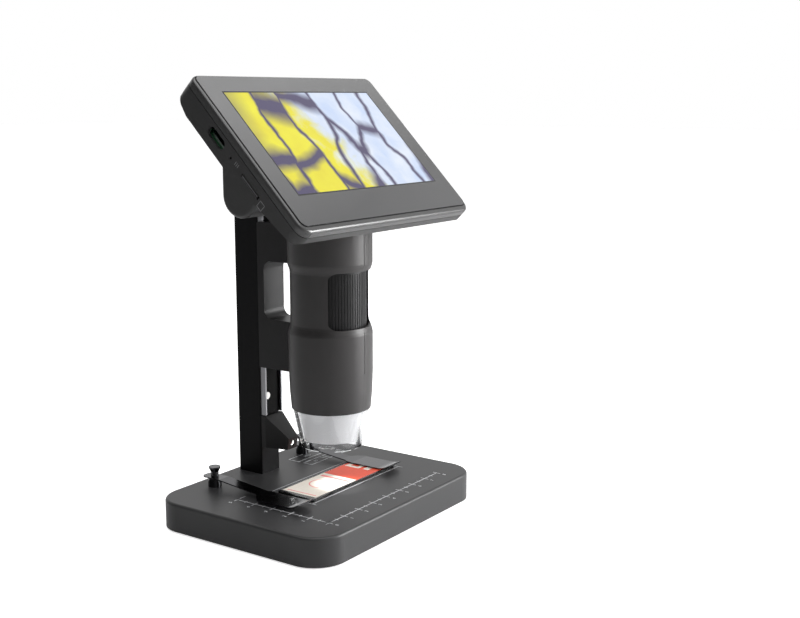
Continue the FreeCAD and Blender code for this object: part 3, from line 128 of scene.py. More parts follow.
FINISHES: dict[str, Finish] = {
    "black_plastic": Finish((0.013, 0.0125, 0.013), 0.40, depth=0.000012, tone=0.10, shine=0.20),
    "shell_plastic": Finish((0.030, 0.030, 0.030), 0.38, depth=0.000012, tone=0.10, shine=0.30),
    "barrel_plastic": Finish((0.030, 0.028, 0.028), 0.42, depth=0.000012, tone=0.10, shine=0.35),
    "base_gloss": Finish((0.030, 0.030, 0.031), 0.40, depth=0.000004, tone=0.06, shine=0.30),
    "bezel_gloss": Finish((0.030, 0.030, 0.030), 0.25, depth=0.000004, tone=0.06, shine=0.60),
    "black_metal": Finish((0.005, 0.005, 0.0055), 0.34, grain=Grain.CAST, depth=0.000006, shine=0.08),
    "strip_black": Finish((0.003, 0.003, 0.003), 0.6, grain=Grain.CAST, depth=0.000006, shine=0.05),
    "bare_aluminium": Finish((0.24, 0.24, 0.25), 0.38, Surface.METAL, Grain.BRUSHED, 0.0008, 0.000003),
    "clip_chrome": Finish((0.07, 0.07, 0.075), 0.16, Surface.METAL, Grain.SMOOTH, 0.004, 0.000004, 0.05),
    "screw_steel": Finish((0.42, 0.41, 0.40), 0.32, Surface.METAL, Grain.BRUSHED, 0.0004, 0.000003),
    "polished_steel": Finish(
        (0.68, 0.68, 0.70), 0.12, Surface.METAL, Grain.SMOOTH, 0.004, 0.000004, 0.05),
    "ballast_iron": Finish((0.05, 0.05, 0.05), 0.7, Surface.METAL, Grain.CAST, 0.001, 0.00005),
    "foot_rubber": Finish((0.012, 0.012, 0.012), 0.8, grain=Grain.CAST, depth=0.00003),
    "clear_plastic": Finish((0.97, 0.98, 0.99), 0.04, Surface.CLEAR, Grain.SMOOTH, 0.006, 0.000004, 0.02),
    "frosted_plastic": Finish((0.82, 0.81, 0.82), 0.5, Surface.GLOW, depth=0.000006, glow=0.10),
    "lamp_white": Finish((0.95, 0.95, 0.90), 0.4, Surface.GLOW, glow=3.0),
    "green_board": Finish((0.01, 0.09, 0.03), 0.35, coat=0.4, grain=Grain.CAST, grain_size=0.002),
    "sensor_glass": Finish((0.01, 0.012, 0.03), 0.08, grain=Grain.SMOOTH, coat=0.8),
    "lens_glass": Finish((0.93, 0.96, 0.98), 0.01, Surface.CLEAR, Grain.SMOOTH, 0.01, 0.000001, 0.02),
    "wheel_plastic": Finish((0.009, 0.009, 0.0095), 0.42, depth=0.00001, shine=0.20),
    "bush_plastic": Finish((0.55, 0.54, 0.50), 0.5),
    "cell_wrap": Finish((0.35, 0.37, 0.40), 0.35, coat=0.2),
    "card_plastic": Finish((0.012, 0.012, 0.013), 0.35),
    "key_plastic": Finish((0.02, 0.02, 0.022), 0.22, coat=0.3),
    "mark_white": Finish((0.62, 0.63, 0.65), 0.5, depth=0.000002, tone=0.12),
    "icon_grey": Finish((0.16, 0.16, 0.165), 0.5, depth=0.000002, tone=0.12),
}


@dataclass(frozen=True)
class Tissue:
    """The made-up tissue on the screen.

    Attributes:
        drift_scale: Scale of the noise that bends the cells.
        drift: How far that noise shifts them, in metres.
        turn: Turn of the cells, in radians.
        stretch: Scale of the pattern along each axis.
        cell_scale: Scale of the cells.
        wall: Where a cell's wall begins to give way, and where it has.
        cloud_scale: Scale of the tone inside the cells.
        slope: How fast the cool side comes in across and up, per metre.
        fray: How much the tone frays the border between the sides.
        border: Where the cool side begins, and where it is full.
        warm: The warm side's two colours.
        cool: The cool side's two colours.
        wall_colour: The walls' colour.
    """

    drift_scale: float = 45.0
    drift: tuple[float, float, float] = (0.012, 0.012, 0.0)
    turn: float = 0.75
    stretch: tuple[float, float, float] = (1.0, 0.30, 1.0)
    cell_scale: float = 62.0
    wall: tuple[float, float] = (0.02, 0.10)
    cloud_scale: float = 70.0
    slope: tuple[float, float] = (26.0, 11.0)
    fray: float = 1.6
    border: tuple[float, float] = (-0.30, 0.05)
    warm: tuple[Colour, Colour] = ((0.74, 0.60, 0.0, 1), (1.0, 0.98, 0.0, 1))
    cool: tuple[Colour, Colour] = ((0.38, 0.55, 0.92, 1), (0.98, 1.0, 1.0, 1))
    wall_colour: Colour = (0.05, 0.035, 0.12, 1)


@dataclass(frozen=True)
class Glass:
    """The cover glass, measured from the middle of the screen.

    Attributes:
        picture: The lit picture's edges.
        rim: The black rim's outer edges.
        wander_scale: Scale of the slow tone.
        slope: How far the painted sheen on the border leans across.
        shading: Where the painted sheen leaves the border palest, and where it has faded to deepest.
        pale: The two colours at the painted sheen's bright end.
        deep: The two colours at the painted sheen's dark end.
        rim_colour: The rim's colour.
        off_colour: The picture's own colour under its light.
        roughness: The least roughness, and what the slow tone adds.
        ior: Index of refraction.
        glow: Strength of the lit picture.
    """

    picture: Area = (-47.52 * MM, 47.52 * MM, -26.93 * MM, 26.93 * MM)
    rim: Area = (-48.2 * MM, 48.2 * MM, -27.6 * MM, 27.6 * MM)
    wander_scale: float = 35.0
    slope: float = 0.35
    shading: tuple[float, float] = (-40 * MM, 30 * MM)
    pale: tuple[Colour, Colour] = ((0.105, 0.105, 0.106, 1), (0.120, 0.120, 0.121, 1))
    deep: tuple[Colour, Colour] = ((0.040, 0.040, 0.041, 1), (0.050, 0.050, 0.051, 1))
    rim_colour: Colour = (0.004, 0.004, 0.005, 1)
    off_colour: Colour = (0.01, 0.01, 0.01, 1)
    roughness: tuple[float, float] = (0.06, 0.04)
    ior: float = 1.5
    glow: float = 0.9


@dataclass(frozen=True)
class Label:
    """The print on the slide's label, and the painted pool of light on its left end, in the frame's X and
    Y.

    Attributes:
        fibre_scale: Scale of the paper's fibres.
        fibre_depth: How high they stand.
        roughness: The paper's roughness.
        red_from: Where the red field begins and the painted pool of light ends.
        red: The red field's two colours.
        cream: Two colours of the cream print, also used for the cream field, which is painted light: the
            microscope's light falling on the label's left end.
        pink: Colour of the thin lines.
        bar: The short cream bar.
        tile: The cream tile.
        hole: The red middle of the tile.
        ring_middle: Middle of the pink ring.
        ring: Its inner and outer radius.
        line: The thin pink line.
        stripe: The broad pink line.
    """

    fibre_scale: float = 900.0
    fibre_depth: float = 0.01 * MM
    roughness: float = 0.45
    red_from: float = 8.5 * MM
    red: tuple[Colour, Colour] = ((0.72, 0.050, 0.012, 1), (0.86, 0.085, 0.020, 1))
    cream: tuple[Colour, Colour] = ((0.78, 0.70, 0.60, 1), (0.90, 0.84, 0.76, 1))
    pink: Colour = (0.80, 0.22, 0.20, 1)
    bar: Area = (23.0 * MM, 31.0 * MM, -9.0 * MM, -6.0 * MM)
    tile: Area = (22.5 * MM, 31.5 * MM, -4.0 * MM, 4.0 * MM)
    hole: Area = (24.5 * MM, 29.5 * MM, -2.0 * MM, 2.0 * MM)
    ring_middle: tuple[float, float] = (-4.0 * MM, -4.0 * MM)
    ring: tuple[float, float] = (5.6 * MM, 6.2 * MM)
    line: Area = (-19.0 * MM, -18.4 * MM, -12.0 * MM, 4.0 * MM)
    stripe: Area = (4.0 * MM, 6.0 * MM, -12.0 * MM, 4.0 * MM)


class Graph:
    """A small helper that adds and joins shader or geometry nodes."""

    def __init__(self, tree: bpy.types.NodeTree) -> None:
        """Keep the tree.

        Args:
            tree: The node tree to write in.
        """
        self.tree = tree

    def add(self, kind: str, values: dict | None = None, **props: object) -> bpy.types.Node:
        """Add a node.

        Args:
            kind: The node's type name.
            values: Input names or numbers with a value or an output socket for each.
            **props: Attributes set on the node itself.

        Returns:
            The new node.
        """
        node = self.tree.nodes.new(kind)
        for name, value in props.items():
            setattr(node, name, value)
        for key, value in (values or {}).items():
            socket = node.inputs[key]
            if isinstance(value, bpy.types.NodeSocket):
                self.tree.links.new(value, socket)
            else:
                socket.default_value = value
        return node

    def maths(self, operation: str, *values: object) -> bpy.types.NodeSocket:
        """Add a number node.

        Args:
            operation: The operation's name.
            *values: Its operands, numbers or sockets.

        Returns:
            The result socket.
        """
        node = self.add("ShaderNodeMath", dict(enumerate(values)), operation=operation)
        return node.outputs[0]

    def mix(self, factor: object, first: object, second: object) -> bpy.types.NodeSocket:
        """Blend two colours.

        Args:
            factor: Share of the second colour.
            first: First colour or socket.
            second: Second colour or socket.

        Returns:
            The blended colour socket.
        """
        node = self.tree.nodes.new("ShaderNodeMix")
        node.data_type = "RGBA"
        for index, value in ((0, factor), (6, first), (7, second)):
            if isinstance(value, bpy.types.NodeSocket):
                self.tree.links.new(value, node.inputs[index])
            else:
                node.inputs[index].default_value = value
        return node.outputs[2]

    def between(self, value: object, low: float, high: float) -> bpy.types.NodeSocket:
        """One where the value lies between two limits, else zero.

        Args:
            value: The socket to test.
            low: Lower limit.
            high: Upper limit.

        Returns:
            The mask socket.
        """
        above = self.maths("GREATER_THAN", value, low)
        below = self.maths("LESS_THAN", value, high)
        return self.maths("MULTIPLY", above, below)

    def inside(self, x: object, y: object, area: Area) -> bpy.types.NodeSocket:
        """One inside a rectangle, else zero.

        Args:
            x: The socket across.
            y: The socket along.
            area: The rectangle.

        Returns:
            The mask socket.
        """
        left, right, low, high = area
        return self.maths("MULTIPLY", self.between(x, left, right), self.between(y, low, high))

    def ramp(self, value: object, low: float, high: float, start: float = 0.0,
             end: float = 1.0) -> bpy.types.NodeSocket:
        """Carry a value from one range to another, held at both ends.

        Args:
            value: The socket to carry.
            low: Where the first range begins.
            high: Where it ends.
            start: Where the second range begins.
            end: Where it ends.

        Returns:
            The result socket.
        """
        values = {0: value, 1: low, 2: high, 3: start, 4: end}
        return self.add("ShaderNodeMapRange", values).outputs[0]

    def noise(self, where: bpy.types.NodeSocket, scale: float, detail: float = 2.0) -> bpy.types.Node:
        """Add a noise texture.

        Args:
            where: Its coordinates.
            scale: Its scale.
            detail: How many layers it has.

        Returns:
            The new node.
        """
        values = {"Vector": where, "Scale": scale, "Detail": detail}
        return self.add("ShaderNodeTexNoise", values)


def rgba(colour: tuple[float, float, float]) -> tuple[float, float, float, float]:
    """Add full alpha to a colour.

    Args:
        colour: Linear colour.

    Returns:
        The colour with alpha one.
    """
    return (*colour, 1.0)


def placed(name: str, data: bpy.types.ID) -> bpy.types.Object:
    """Add an object to the scene.

    Args:
        name: The object's name.
        data: Its mesh, curve, light or camera.

    Returns:
        The new object.
    """
    thing = bpy.data.objects.new(name, data)
    bpy.context.scene.collection.objects.link(thing)
    return thing


class Paintbox:
    """Makes each procedural material once."""

    def __init__(self) -> None:
        """Start with no material made."""
        self._made: dict[str, bpy.types.Material] = {}
        self.tissue = Tissue()
        self.glass = Glass()
        self.label = Label()

    def get(self, name: str) -> bpy.types.Material:
        """Return a material, making it when first asked for.

        Args:
            name: A key of FINISHES, or one of the special pictures.

        Returns:
            The material.
        """
        if name not in self._made:
            special = {
                "cover_glass": self._cover_glass,
                "label_paper": self._label_paper,
                "floor": self._floor,
            }
            maker = special.get(name)
            self._made[name] = maker() if maker else self._plain(name, FINISHES[name])
        return self._made[name]

    def _blank(self, name: str) -> tuple[bpy.types.Material, Graph]:
        """Make an empty node material.

        Args:
            name: The material's name.

        Returns:
            The material and its graph.
        """
        material = bpy.data.materials.new(name)
        material.use_nodes = True
        material.node_tree.nodes.clear()
        return material, Graph(material.node_tree)

    @staticmethod
    def _cover(graph: Graph, values: dict) -> None:
        """Give the graph its surface and its output.

        Args:
            graph: The graph to write in.
            values: The surface's inputs.
        """
        shader = graph.add("ShaderNodeBsdfPrincipled", values)
        graph.add("ShaderNodeOutputMaterial", {"Surface": shader.outputs[0]})

    def _pattern(self, graph: Graph,
                 finish: Finish) -> tuple[bpy.types.NodeSocket, bpy.types.NodeSocket]:
        """Lay the finish's grain and its slow wander over object coordinates.

        Args:
            graph: The graph to write in.
            finish: The finish.

        Returns:
            The fine height and the slow tone, both from zero to one.
        """
        where = graph.add("ShaderNodeTexCoord").outputs["Object"]
        scale = 1.0 / finish.grain_size
        stretch = BRUSHED if finish.grain is Grain.BRUSHED else (1.0, 1.0, 1.0)
        mapped = graph.add("ShaderNodeMapping", {"Vector": where, "Scale": stretch}).outputs[0]
        if finish.grain is Grain.CAST:
            values = {"Vector": mapped, "Scale": scale}
            cells = graph.add("ShaderNodeTexVoronoi", values, feature="SMOOTH_F1")
            fine = cells.outputs["Distance"]
        else:
            detail = 1.0 if finish.grain is Grain.SMOOTH else 4.0
            fine = graph.noise(mapped, scale, detail).outputs[0]
        slow = graph.noise(where, TONE_SCALE, detail=3.0).outputs[0]
        return fine, slow

    def _plain(self, name: str, finish: Finish) -> bpy.types.Material:
        """Make a material from a finish.

        Args:
            name: The material's name.
            finish: The finish.

        Returns:
            The material.
        """
        material, graph = self._blank(name)
        fine, slow = self._pattern(graph, finish)
        dark = tuple(c * (1 - finish.tone) for c in finish.colour)
        light = tuple(min(1.0, c * (1 + finish.tone)) for c in finish.colour)
        colour = graph.mix(slow, rgba(dark), rgba(light))
        least = finish.roughness * (1 - finish.tone)
        most = finish.roughness * (1 + finish.tone)
        rough = graph.ramp(slow, 0.0, 1.0, least, most)
        bump = graph.add("ShaderNodeBump", {"Height": fine, "Strength": 1.0, "Distance": finish.depth})
        values = {
            "Base Color": colour, "Roughness": rough, "Normal": bump.outputs[0],
            "Metallic": 1.0 if finish.surface is Surface.METAL else 0.0,
            "Coat Weight": finish.coat, "Coat Roughness": COAT_ROUGHNESS,
            "IOR": PLASTIC_IOR, "Specular IOR Level": finish.shine,
        }
        if finish.surface is Surface.CLEAR:
            values["Transmission Weight"] = 1.0
        if finish.surface is Surface.GLOW:
            values["Emission Color"] = colour
            values["Emission Strength"] = finish.glow
        self._cover(graph, values)
        return material

    def _head_plane(self, graph: Graph) -> tuple[bpy.types.NodeSocket, bpy.types.NodeSocket]:
        """Object coordinates turned into the screen's own plane.

        Args:
            graph: The graph to write in.

        Returns:
            Distance across the screen and distance up it, from its middle.
        """
        turn = Matrix.Rotation(-LEAN, 3, "X")
        shift = -(turn @ HEAD_ORIGIN)
        where = graph.add("ShaderNodeTexCoord").outputs["Object"]
        mapped = graph.add("ShaderNodeMapping", {
            "Vector": where, "Rotation": Euler((-LEAN, 0.0, 0.0)), "Location": shift,
        }).outputs[0]
        parts = graph.add("ShaderNodeSeparateXYZ", {0: mapped})
        return parts.outputs[0], parts.outputs[1]

    def _specimen_picture(self, graph: Graph, across: bpy.types.NodeSocket,
                          up: bpy.types.NodeSocket) -> bpy.types.NodeSocket:
        """A made-up magnified tissue: pale and warm cells with dark walls.

        Args:
            graph: The graph to write in.
            across: Distance across the screen.
            up: Distance up the screen.

        Returns:
            The picture's colour.
        """
        look = self.tissue
        spot = graph.add("ShaderNodeCombineXYZ", {0: across, 1: up}).outputs[0]
        drift = graph.noise(spot, look.drift_scale, detail=3.0).outputs["Color"]
        bend = graph.add("ShaderNodeVectorMath", {0: drift, 1: look.drift}, operation="MULTIPLY")
        values = {0: spot, 1: bend.outputs[0]}
        warped = graph.add("ShaderNodeVectorMath", values, operation="ADD").outputs[0]
        laid = graph.add("ShaderNodeMapping", {
            "Vector": warped, "Rotation": Euler((0, 0, look.turn)), "Scale": look.stretch,
        }).outputs[0]
        values = {"Vector": laid, "Scale": look.cell_scale}
        walls = graph.add("ShaderNodeTexVoronoi", values, feature="DISTANCE_TO_EDGE")
        wall = graph.ramp(walls.outputs["Distance"], *look.wall)
        cloud = graph.noise(warped, look.cloud_scale, detail=5.0).outputs[0]
        side = graph.maths("ADD", graph.maths("MULTIPLY", across, look.slope[0]),
                           graph.maths("MULTIPLY", up, look.slope[1]))
        frayed = graph.maths("MULTIPLY", graph.maths("SUBTRACT", cloud, 0.5), look.fray)
        share = graph.ramp(graph.maths("ADD", side, frayed), *look.border)
        warm = graph.mix(cloud, *look.warm)
        cool = graph.mix(cloud, *look.cool)
        tissue = graph.mix(share, warm, cool)
        return graph.mix(wall, look.wall_colour, tissue)

    def _cover_glass(self) -> bpy.types.Material:
        """The screen: a grey masked border with a painted sheen across it, round a lit picture, under one
        glossy surface.

        Returns:
            The material.
        """
        material, graph = self._blank("cover_glass")
        across, up = self._head_plane(graph)
        look = self.glass
        inside = graph.inside(across, up, look.picture)
        rim = graph.inside(across, up, look.rim)
        where = graph.add("ShaderNodeTexCoord").outputs["Object"]
        slow = graph.noise(where, look.wander_scale).outputs[0]
        # Painted sheen: the border's grey runs pale at the upper left to deep at the lower right, a
        # reflection painted on the glass.
        sheen_sweep = graph.maths("SUBTRACT", graph.maths("MULTIPLY", across, look.slope), up)
        painted_sheen = graph.ramp(sheen_sweep, *look.shading)
        border = graph.mix(painted_sheen, graph.mix(slow, *look.pale), graph.mix(slow, *look.deep))
        mask = graph.mix(rim, border, look.rim_colour)
        picture = self._specimen_picture(graph, across, up)
        colour = graph.mix(inside, mask, look.off_colour)
        least, added = look.roughness
        self._cover(graph, {
            "Base Color": colour, "Roughness": graph.maths("MULTIPLY_ADD", slow, added, least),
            "IOR": look.ior, "Emission Color": picture,
            "Emission Strength": graph.maths("MULTIPLY", inside, look.glow),
        })
        return material

    def _label_paper(self) -> bpy.types.Material:
        """The slide's printed label: a warm red field with pale shapes, beside a cream field that is
        painted light, the microscope's light falling on the label's left end.

        Returns:
            The material.
        """
        material, graph = self._blank("label_paper")
        where = graph.add("ShaderNodeTexCoord").outputs["Object"]
        parts = graph.add("ShaderNodeSeparateXYZ", {0: where})
        x, y = parts.outputs[0], parts.outputs[1]
        look = self.label
        fibre = graph.noise(where, look.fibre_scale, detail=3.0).outputs[0]
        red = graph.mix(fibre, *look.red)
        cream = graph.mix(fibre, *look.cream)
        # Painted light: left of red_from the label takes the cream colours, standing in for the
        # microscope's light falling there.
        red_side = graph.maths("GREATER_THAN", x, look.red_from)
        paper = graph.mix(red_side, cream, red)
        for area, ink in ((look.bar, cream), (look.tile, cream), (look.hole, red)):
            paper = graph.mix(graph.inside(x, y, area), paper, ink)
        dx = graph.maths("SUBTRACT", x, look.ring_middle[0])
        dy = graph.maths("SUBTRACT", y, look.ring_middle[1])
        squares = graph.maths("ADD", graph.maths("MULTIPLY", dx, dx), graph.maths("MULTIPLY", dy, dy))
        ring = graph.between(graph.maths("SQRT", squares), *look.ring)
        paper = graph.mix(ring, paper, look.pink)
        for area in (look.line, look.stripe):
            paper = graph.mix(graph.inside(x, y, area), paper, look.pink)
        bump = graph.add("ShaderNodeBump", {"Height": fibre, "Distance": look.fibre_depth})
        self._cover(graph, {
            "Base Color": paper, "Roughness": look.roughness, "Normal": bump.outputs[0],
        })
        return material

    def _floor(self) -> bpy.types.Material:
        """The pale floor, lifted so that it reads as white paper.

        Returns:
            The material.
        """
        material, graph = self._blank("floor")
        where = graph.add("ShaderNodeTexCoord").outputs["Object"]
        fibre = graph.noise(where, FLOOR_SCALE).outputs[0]
        colour = graph.mix(fibre, *FLOOR_TONES)
        seen = graph.add("ShaderNodeLightPath").outputs["Is Camera Ray"]
        own, added = FLOOR_LIGHT
        self._cover(graph, {
            "Base Color": colour, "Roughness": FLOOR_ROUGHNESS, "Emission Color": (1, 1, 1, 1),
            "Emission Strength": graph.maths("MULTIPLY_ADD", seen, added, own),
        })
        return material


class Forge:
    """Makes mesh pieces in place and hands them to their bodies."""

    def __init__(self, paints: Paintbox) -> None:
        """Keep the paintbox.

        Args:
            paints: Where finishes come from.
        """
        self.paints = paints

    def add_mesh(self, name: str, mesh: bpy.types.Mesh, finish: str, body: str,
                 matrix: Matrix | None = None) -> bpy.types.Object:
        """Turn a mesh into a piece that rides on a body.

        Args:
            name: The piece's name.
            mesh: Its mesh.
            finish: Its finish.
            body: The body it rides on.
            matrix: Where the mesh goes.

        Returns:
            The new object.
        """
        if matrix is not None:
            mesh.transform(matrix)
        mesh.materials.clear()
        mesh.materials.append(self.paints.get(finish))
        piece = placed(name, mesh)
        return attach(piece, body)

    def plates(self, name: str, boxes: list[tuple[Vector, Vector]], finish: str, body: str,
               slot: str | None = None, matrix: Matrix | None = None) -> bpy.types.Object:
        """Make one piece from a list of boxes.

        Args:
            name: The piece's name.
            boxes: Low and high corner of each box.
            finish: Its finish.
            body: The body it rides on.
            slot: Not used.
            matrix: Where the boxes go.

        Returns:
            The new object.
        """
        points: list[tuple[float, float, float]] = []
        faces: list[tuple[int, ...]] = []
        for low, high in boxes:
            start = len(points)
            for z in (low.z, high.z):
                points += [(low.x, low.y, z), (high.x, low.y, z), (high.x, high.y, z), (low.x, high.y, z)]
            faces += [tuple(start + i for i in side) for side in BOX_SIDES]
        mesh = bpy.data.meshes.new(name)
        mesh.from_pydata(points, [], faces)
        return self.add_mesh(name, mesh, finish, body, matrix)

    def repeat(self, name: str, start: Vector, step: Vector, count: int, size: Vector, finish: str,
               body: str, slot: str | None = None, matrix: Matrix | None = None) -> bpy.types.Object:
        """Repeat a small box along a line with geometry nodes.

        Args:
            name: The piece's name.
            start: Middle of the first box.
            step: From one box to the next.
            count: How many boxes.
            size: The box's size.
            finish: Its finish.
            body: The body it rides on.
            slot: Not used.
            matrix: Where the row goes.

        Returns:
            The new object.
        """
        group = self._row_group()
        holder = placed(name + "_row", bpy.data.meshes.new(name + "_row"))
        modifier = holder.modifiers.new("row", "NODES")
        modifier.node_group = group
        sockets = [item for item in group.interface.items_tree if item.item_type == "SOCKET"]
        named = {item.name: item.identifier for item in sockets}
        modifier[named["Count"]] = count
        modifier[named["Start"]] = tuple(start)
        modifier[named["Step"]] = tuple(step)
        modifier[named["Size"]] = tuple(size)
        modifier[named["Finish"]] = self.paints.get(finish)
        depsgraph = bpy.context.evaluated_depsgraph_get()
        mesh = bpy.data.meshes.new_from_object(holder.evaluated_get(depsgraph))
        holder.modifiers.clear()
        bpy.data.objects.remove(holder)
        return self.add_mesh(name, mesh, finish, body, matrix)

    @staticmethod
    def _row_group() -> bpy.types.NodeTree:
        """The geometry node group that lays boxes in a row.

        Returns:
            The group, made once.
        """
        known = bpy.data.node_groups.get("box_row")
        if known:
            return known
        group = bpy.data.node_groups.new("box_row", "GeometryNodeTree")
        face = group.interface
        face.new_socket("Geometry", in_out="OUTPUT", socket_type="NodeSocketGeometry")
        face.new_socket("Geometry", in_out="INPUT", socket_type="NodeSocketGeometry")
        for label, kind in (("Count", "NodeSocketInt"), ("Start", "NodeSocketVector"),
                            ("Step", "NodeSocketVector"), ("Size", "NodeSocketVector"),
                            ("Finish", "NodeSocketMaterial")):
            face.new_socket(label, in_out="INPUT", socket_type=kind)
        graph = Graph(group)
        given = graph.add("NodeGroupInput").outputs
        line = graph.add("GeometryNodeMeshLine", {
            "Count": given["Count"], "Start Location": given["Start"], "Offset": given["Step"],
        }, mode="OFFSET")
        cube = graph.add("GeometryNodeMeshCube", {"Size": given["Size"]})
        placed = graph.add("GeometryNodeInstanceOnPoints", {
            "Points": line.outputs["Mesh"], "Instance": cube.outputs["Mesh"],
        })
        real = graph.add("GeometryNodeRealizeInstances", {"Geometry": placed.outputs[0]})
        painted = graph.add("GeometryNodeSetMaterial", {
            "Geometry": real.outputs[0], "Material": given["Finish"],
        })
        out = graph.add("NodeGroupOutput")
        group.links.new(painted.outputs[0], out.inputs[0])
        return group

    def words(self, name: str, texts: list[tuple[str, Matrix, float]], finish: str, body: str,
              slot: str | None = None, height: float = 0.00004) -> bpy.types.Object:
        """Set short texts as one thin raised piece.

        Args:
            name: The piece's name.
            texts: Text, place and letter size for each.
            finish: Its finish.
            body: The body it rides on.
            slot: Not used.
            height: How far the letters stand up.

        Returns:
            The new object.
        """
        meshes = []
        for index, (text, place, size) in enumerate(texts):
            curve = bpy.data.curves.new(f"{name}_{index}", "FONT")
            curve.body = text
            curve.size = size
            curve.align_x = "CENTER"
            curve.align_y = "CENTER"
            curve.extrude = height / 2
            curve.resolution_u = 3
            holder = placed(curve.name, curve)
            depsgraph = bpy.context.evaluated_depsgraph_get()
            mesh = bpy.data.meshes.new_from_object(holder.evaluated_get(depsgraph))
            mesh.transform(place @ Matrix.Translation((0, 0, height / 2)))
            meshes.append(mesh)
            bpy.data.objects.remove(holder)
        return self.add_mesh(name, self.joined(name, meshes), finish, body)

    @staticmethod
    def joined(name: str, meshes: list[bpy.types.Mesh]) -> bpy.types.Mesh:
        """Put several meshes into one.

        Args:
            name: The new mesh's name.
            meshes: What goes in.

        Returns:
            The joined mesh.
        """
        points: list[tuple[float, float, float]] = []
        faces: list[tuple[int, ...]] = []
        for mesh in meshes:
            start = len(points)
            points += [tuple(v.co) for v in mesh.vertices]
            faces += [tuple(start + i for i in p.vertices) for p in mesh.polygons]
            bpy.data.meshes.remove(mesh)
        whole = bpy.data.meshes.new(name)
        whole.from_pydata(points, [], faces)
        return whole


class SubAssembly:
    """A group of pieces that belong together."""

    coats: dict[str, str] = {}

    def __init__(self, forge: Forge) -> None:
        """Keep the forge.

        Args:
            forge: Makes and paints pieces.
        """
        self.forge = forge

    def dress(self) -> None:
        """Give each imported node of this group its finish."""
        for node, finish in self.coats.items():
            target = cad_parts[node]
            target.data.materials.clear()
            target.data.materials.append(self.forge.paints.get(finish))

    def build(self) -> None:
        """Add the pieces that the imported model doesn't hold."""

    def run(self) -> None:
        """Dress the nodes, then add the rest."""
        LOG.info("building %s", type(self).__name__)
        self.dress()
        self.build()


@dataclass
class RulerSize:
    """Sizes of a printed rule.

    Attributes:
        step: From one numbered line to the next.
        line: Width of every printed line.
        long: Length of a numbered tick.
        short: Length of a tick between.
        digit: Letter size.
        ink: Thickness of the print.
    """

    step: float = 10 * MM
    line: float = 0.28 * MM
    long: float = 4.0 * MM
    short: float = 2.0 * MM
    digit: float = 2.3 * MM
    ink: float = 0.04 * MM


@dataclass(frozen=True)
class StagePlan:
    """Places of the print on the stage.

    Attributes:
        corner: Where the two rules meet.
        right: The front rule's end.
        back: The side rule's end.
        hook: Length of the side rule's end line.
        counts: Numbered lines of the front rule and of the side rule.
        aside: From a rule to the middle of its numbers.
        slide: Edges of the slide's outline.
        tick: How far a short line at its corners reaches each way.
        boxes: Edges of the scale boxes.
        captions: Their numbers, each with its middle.
    """

    corner: tuple[float, float] = (-39 * MM, -35 * MM)
    right: float = 41 * MM
    back: float = 15 * MM
    hook: float = 5 * MM
    counts: tuple[int, int] = (9, 6)
    aside: float = 4.2 * MM
    slide: Area = (-25 * MM, 39 * MM, -15 * MM, 10 * MM)
    tick: float = 2 * MM
    boxes: tuple[Area, ...] = (
        (18 * MM, 30 * MM, 20 * MM, 25 * MM),
        (32 * MM, 46 * MM, 20 * MM, 25 * MM),
        (18 * MM, 38 * MM, 28 * MM, 34 * MM),
        (40 * MM, 47 * MM, 28 * MM, 34 * MM),
    )
    captions: tuple[tuple[str, float, float], ...] = (
        ("10", 24 * MM, 22.4 * MM),
        ("50", 39 * MM, 22.4 * MM),
        ("1000", 28 * MM, 30.9 * MM),
        ("5", 43.5 * MM, 30.9 * MM),
    )


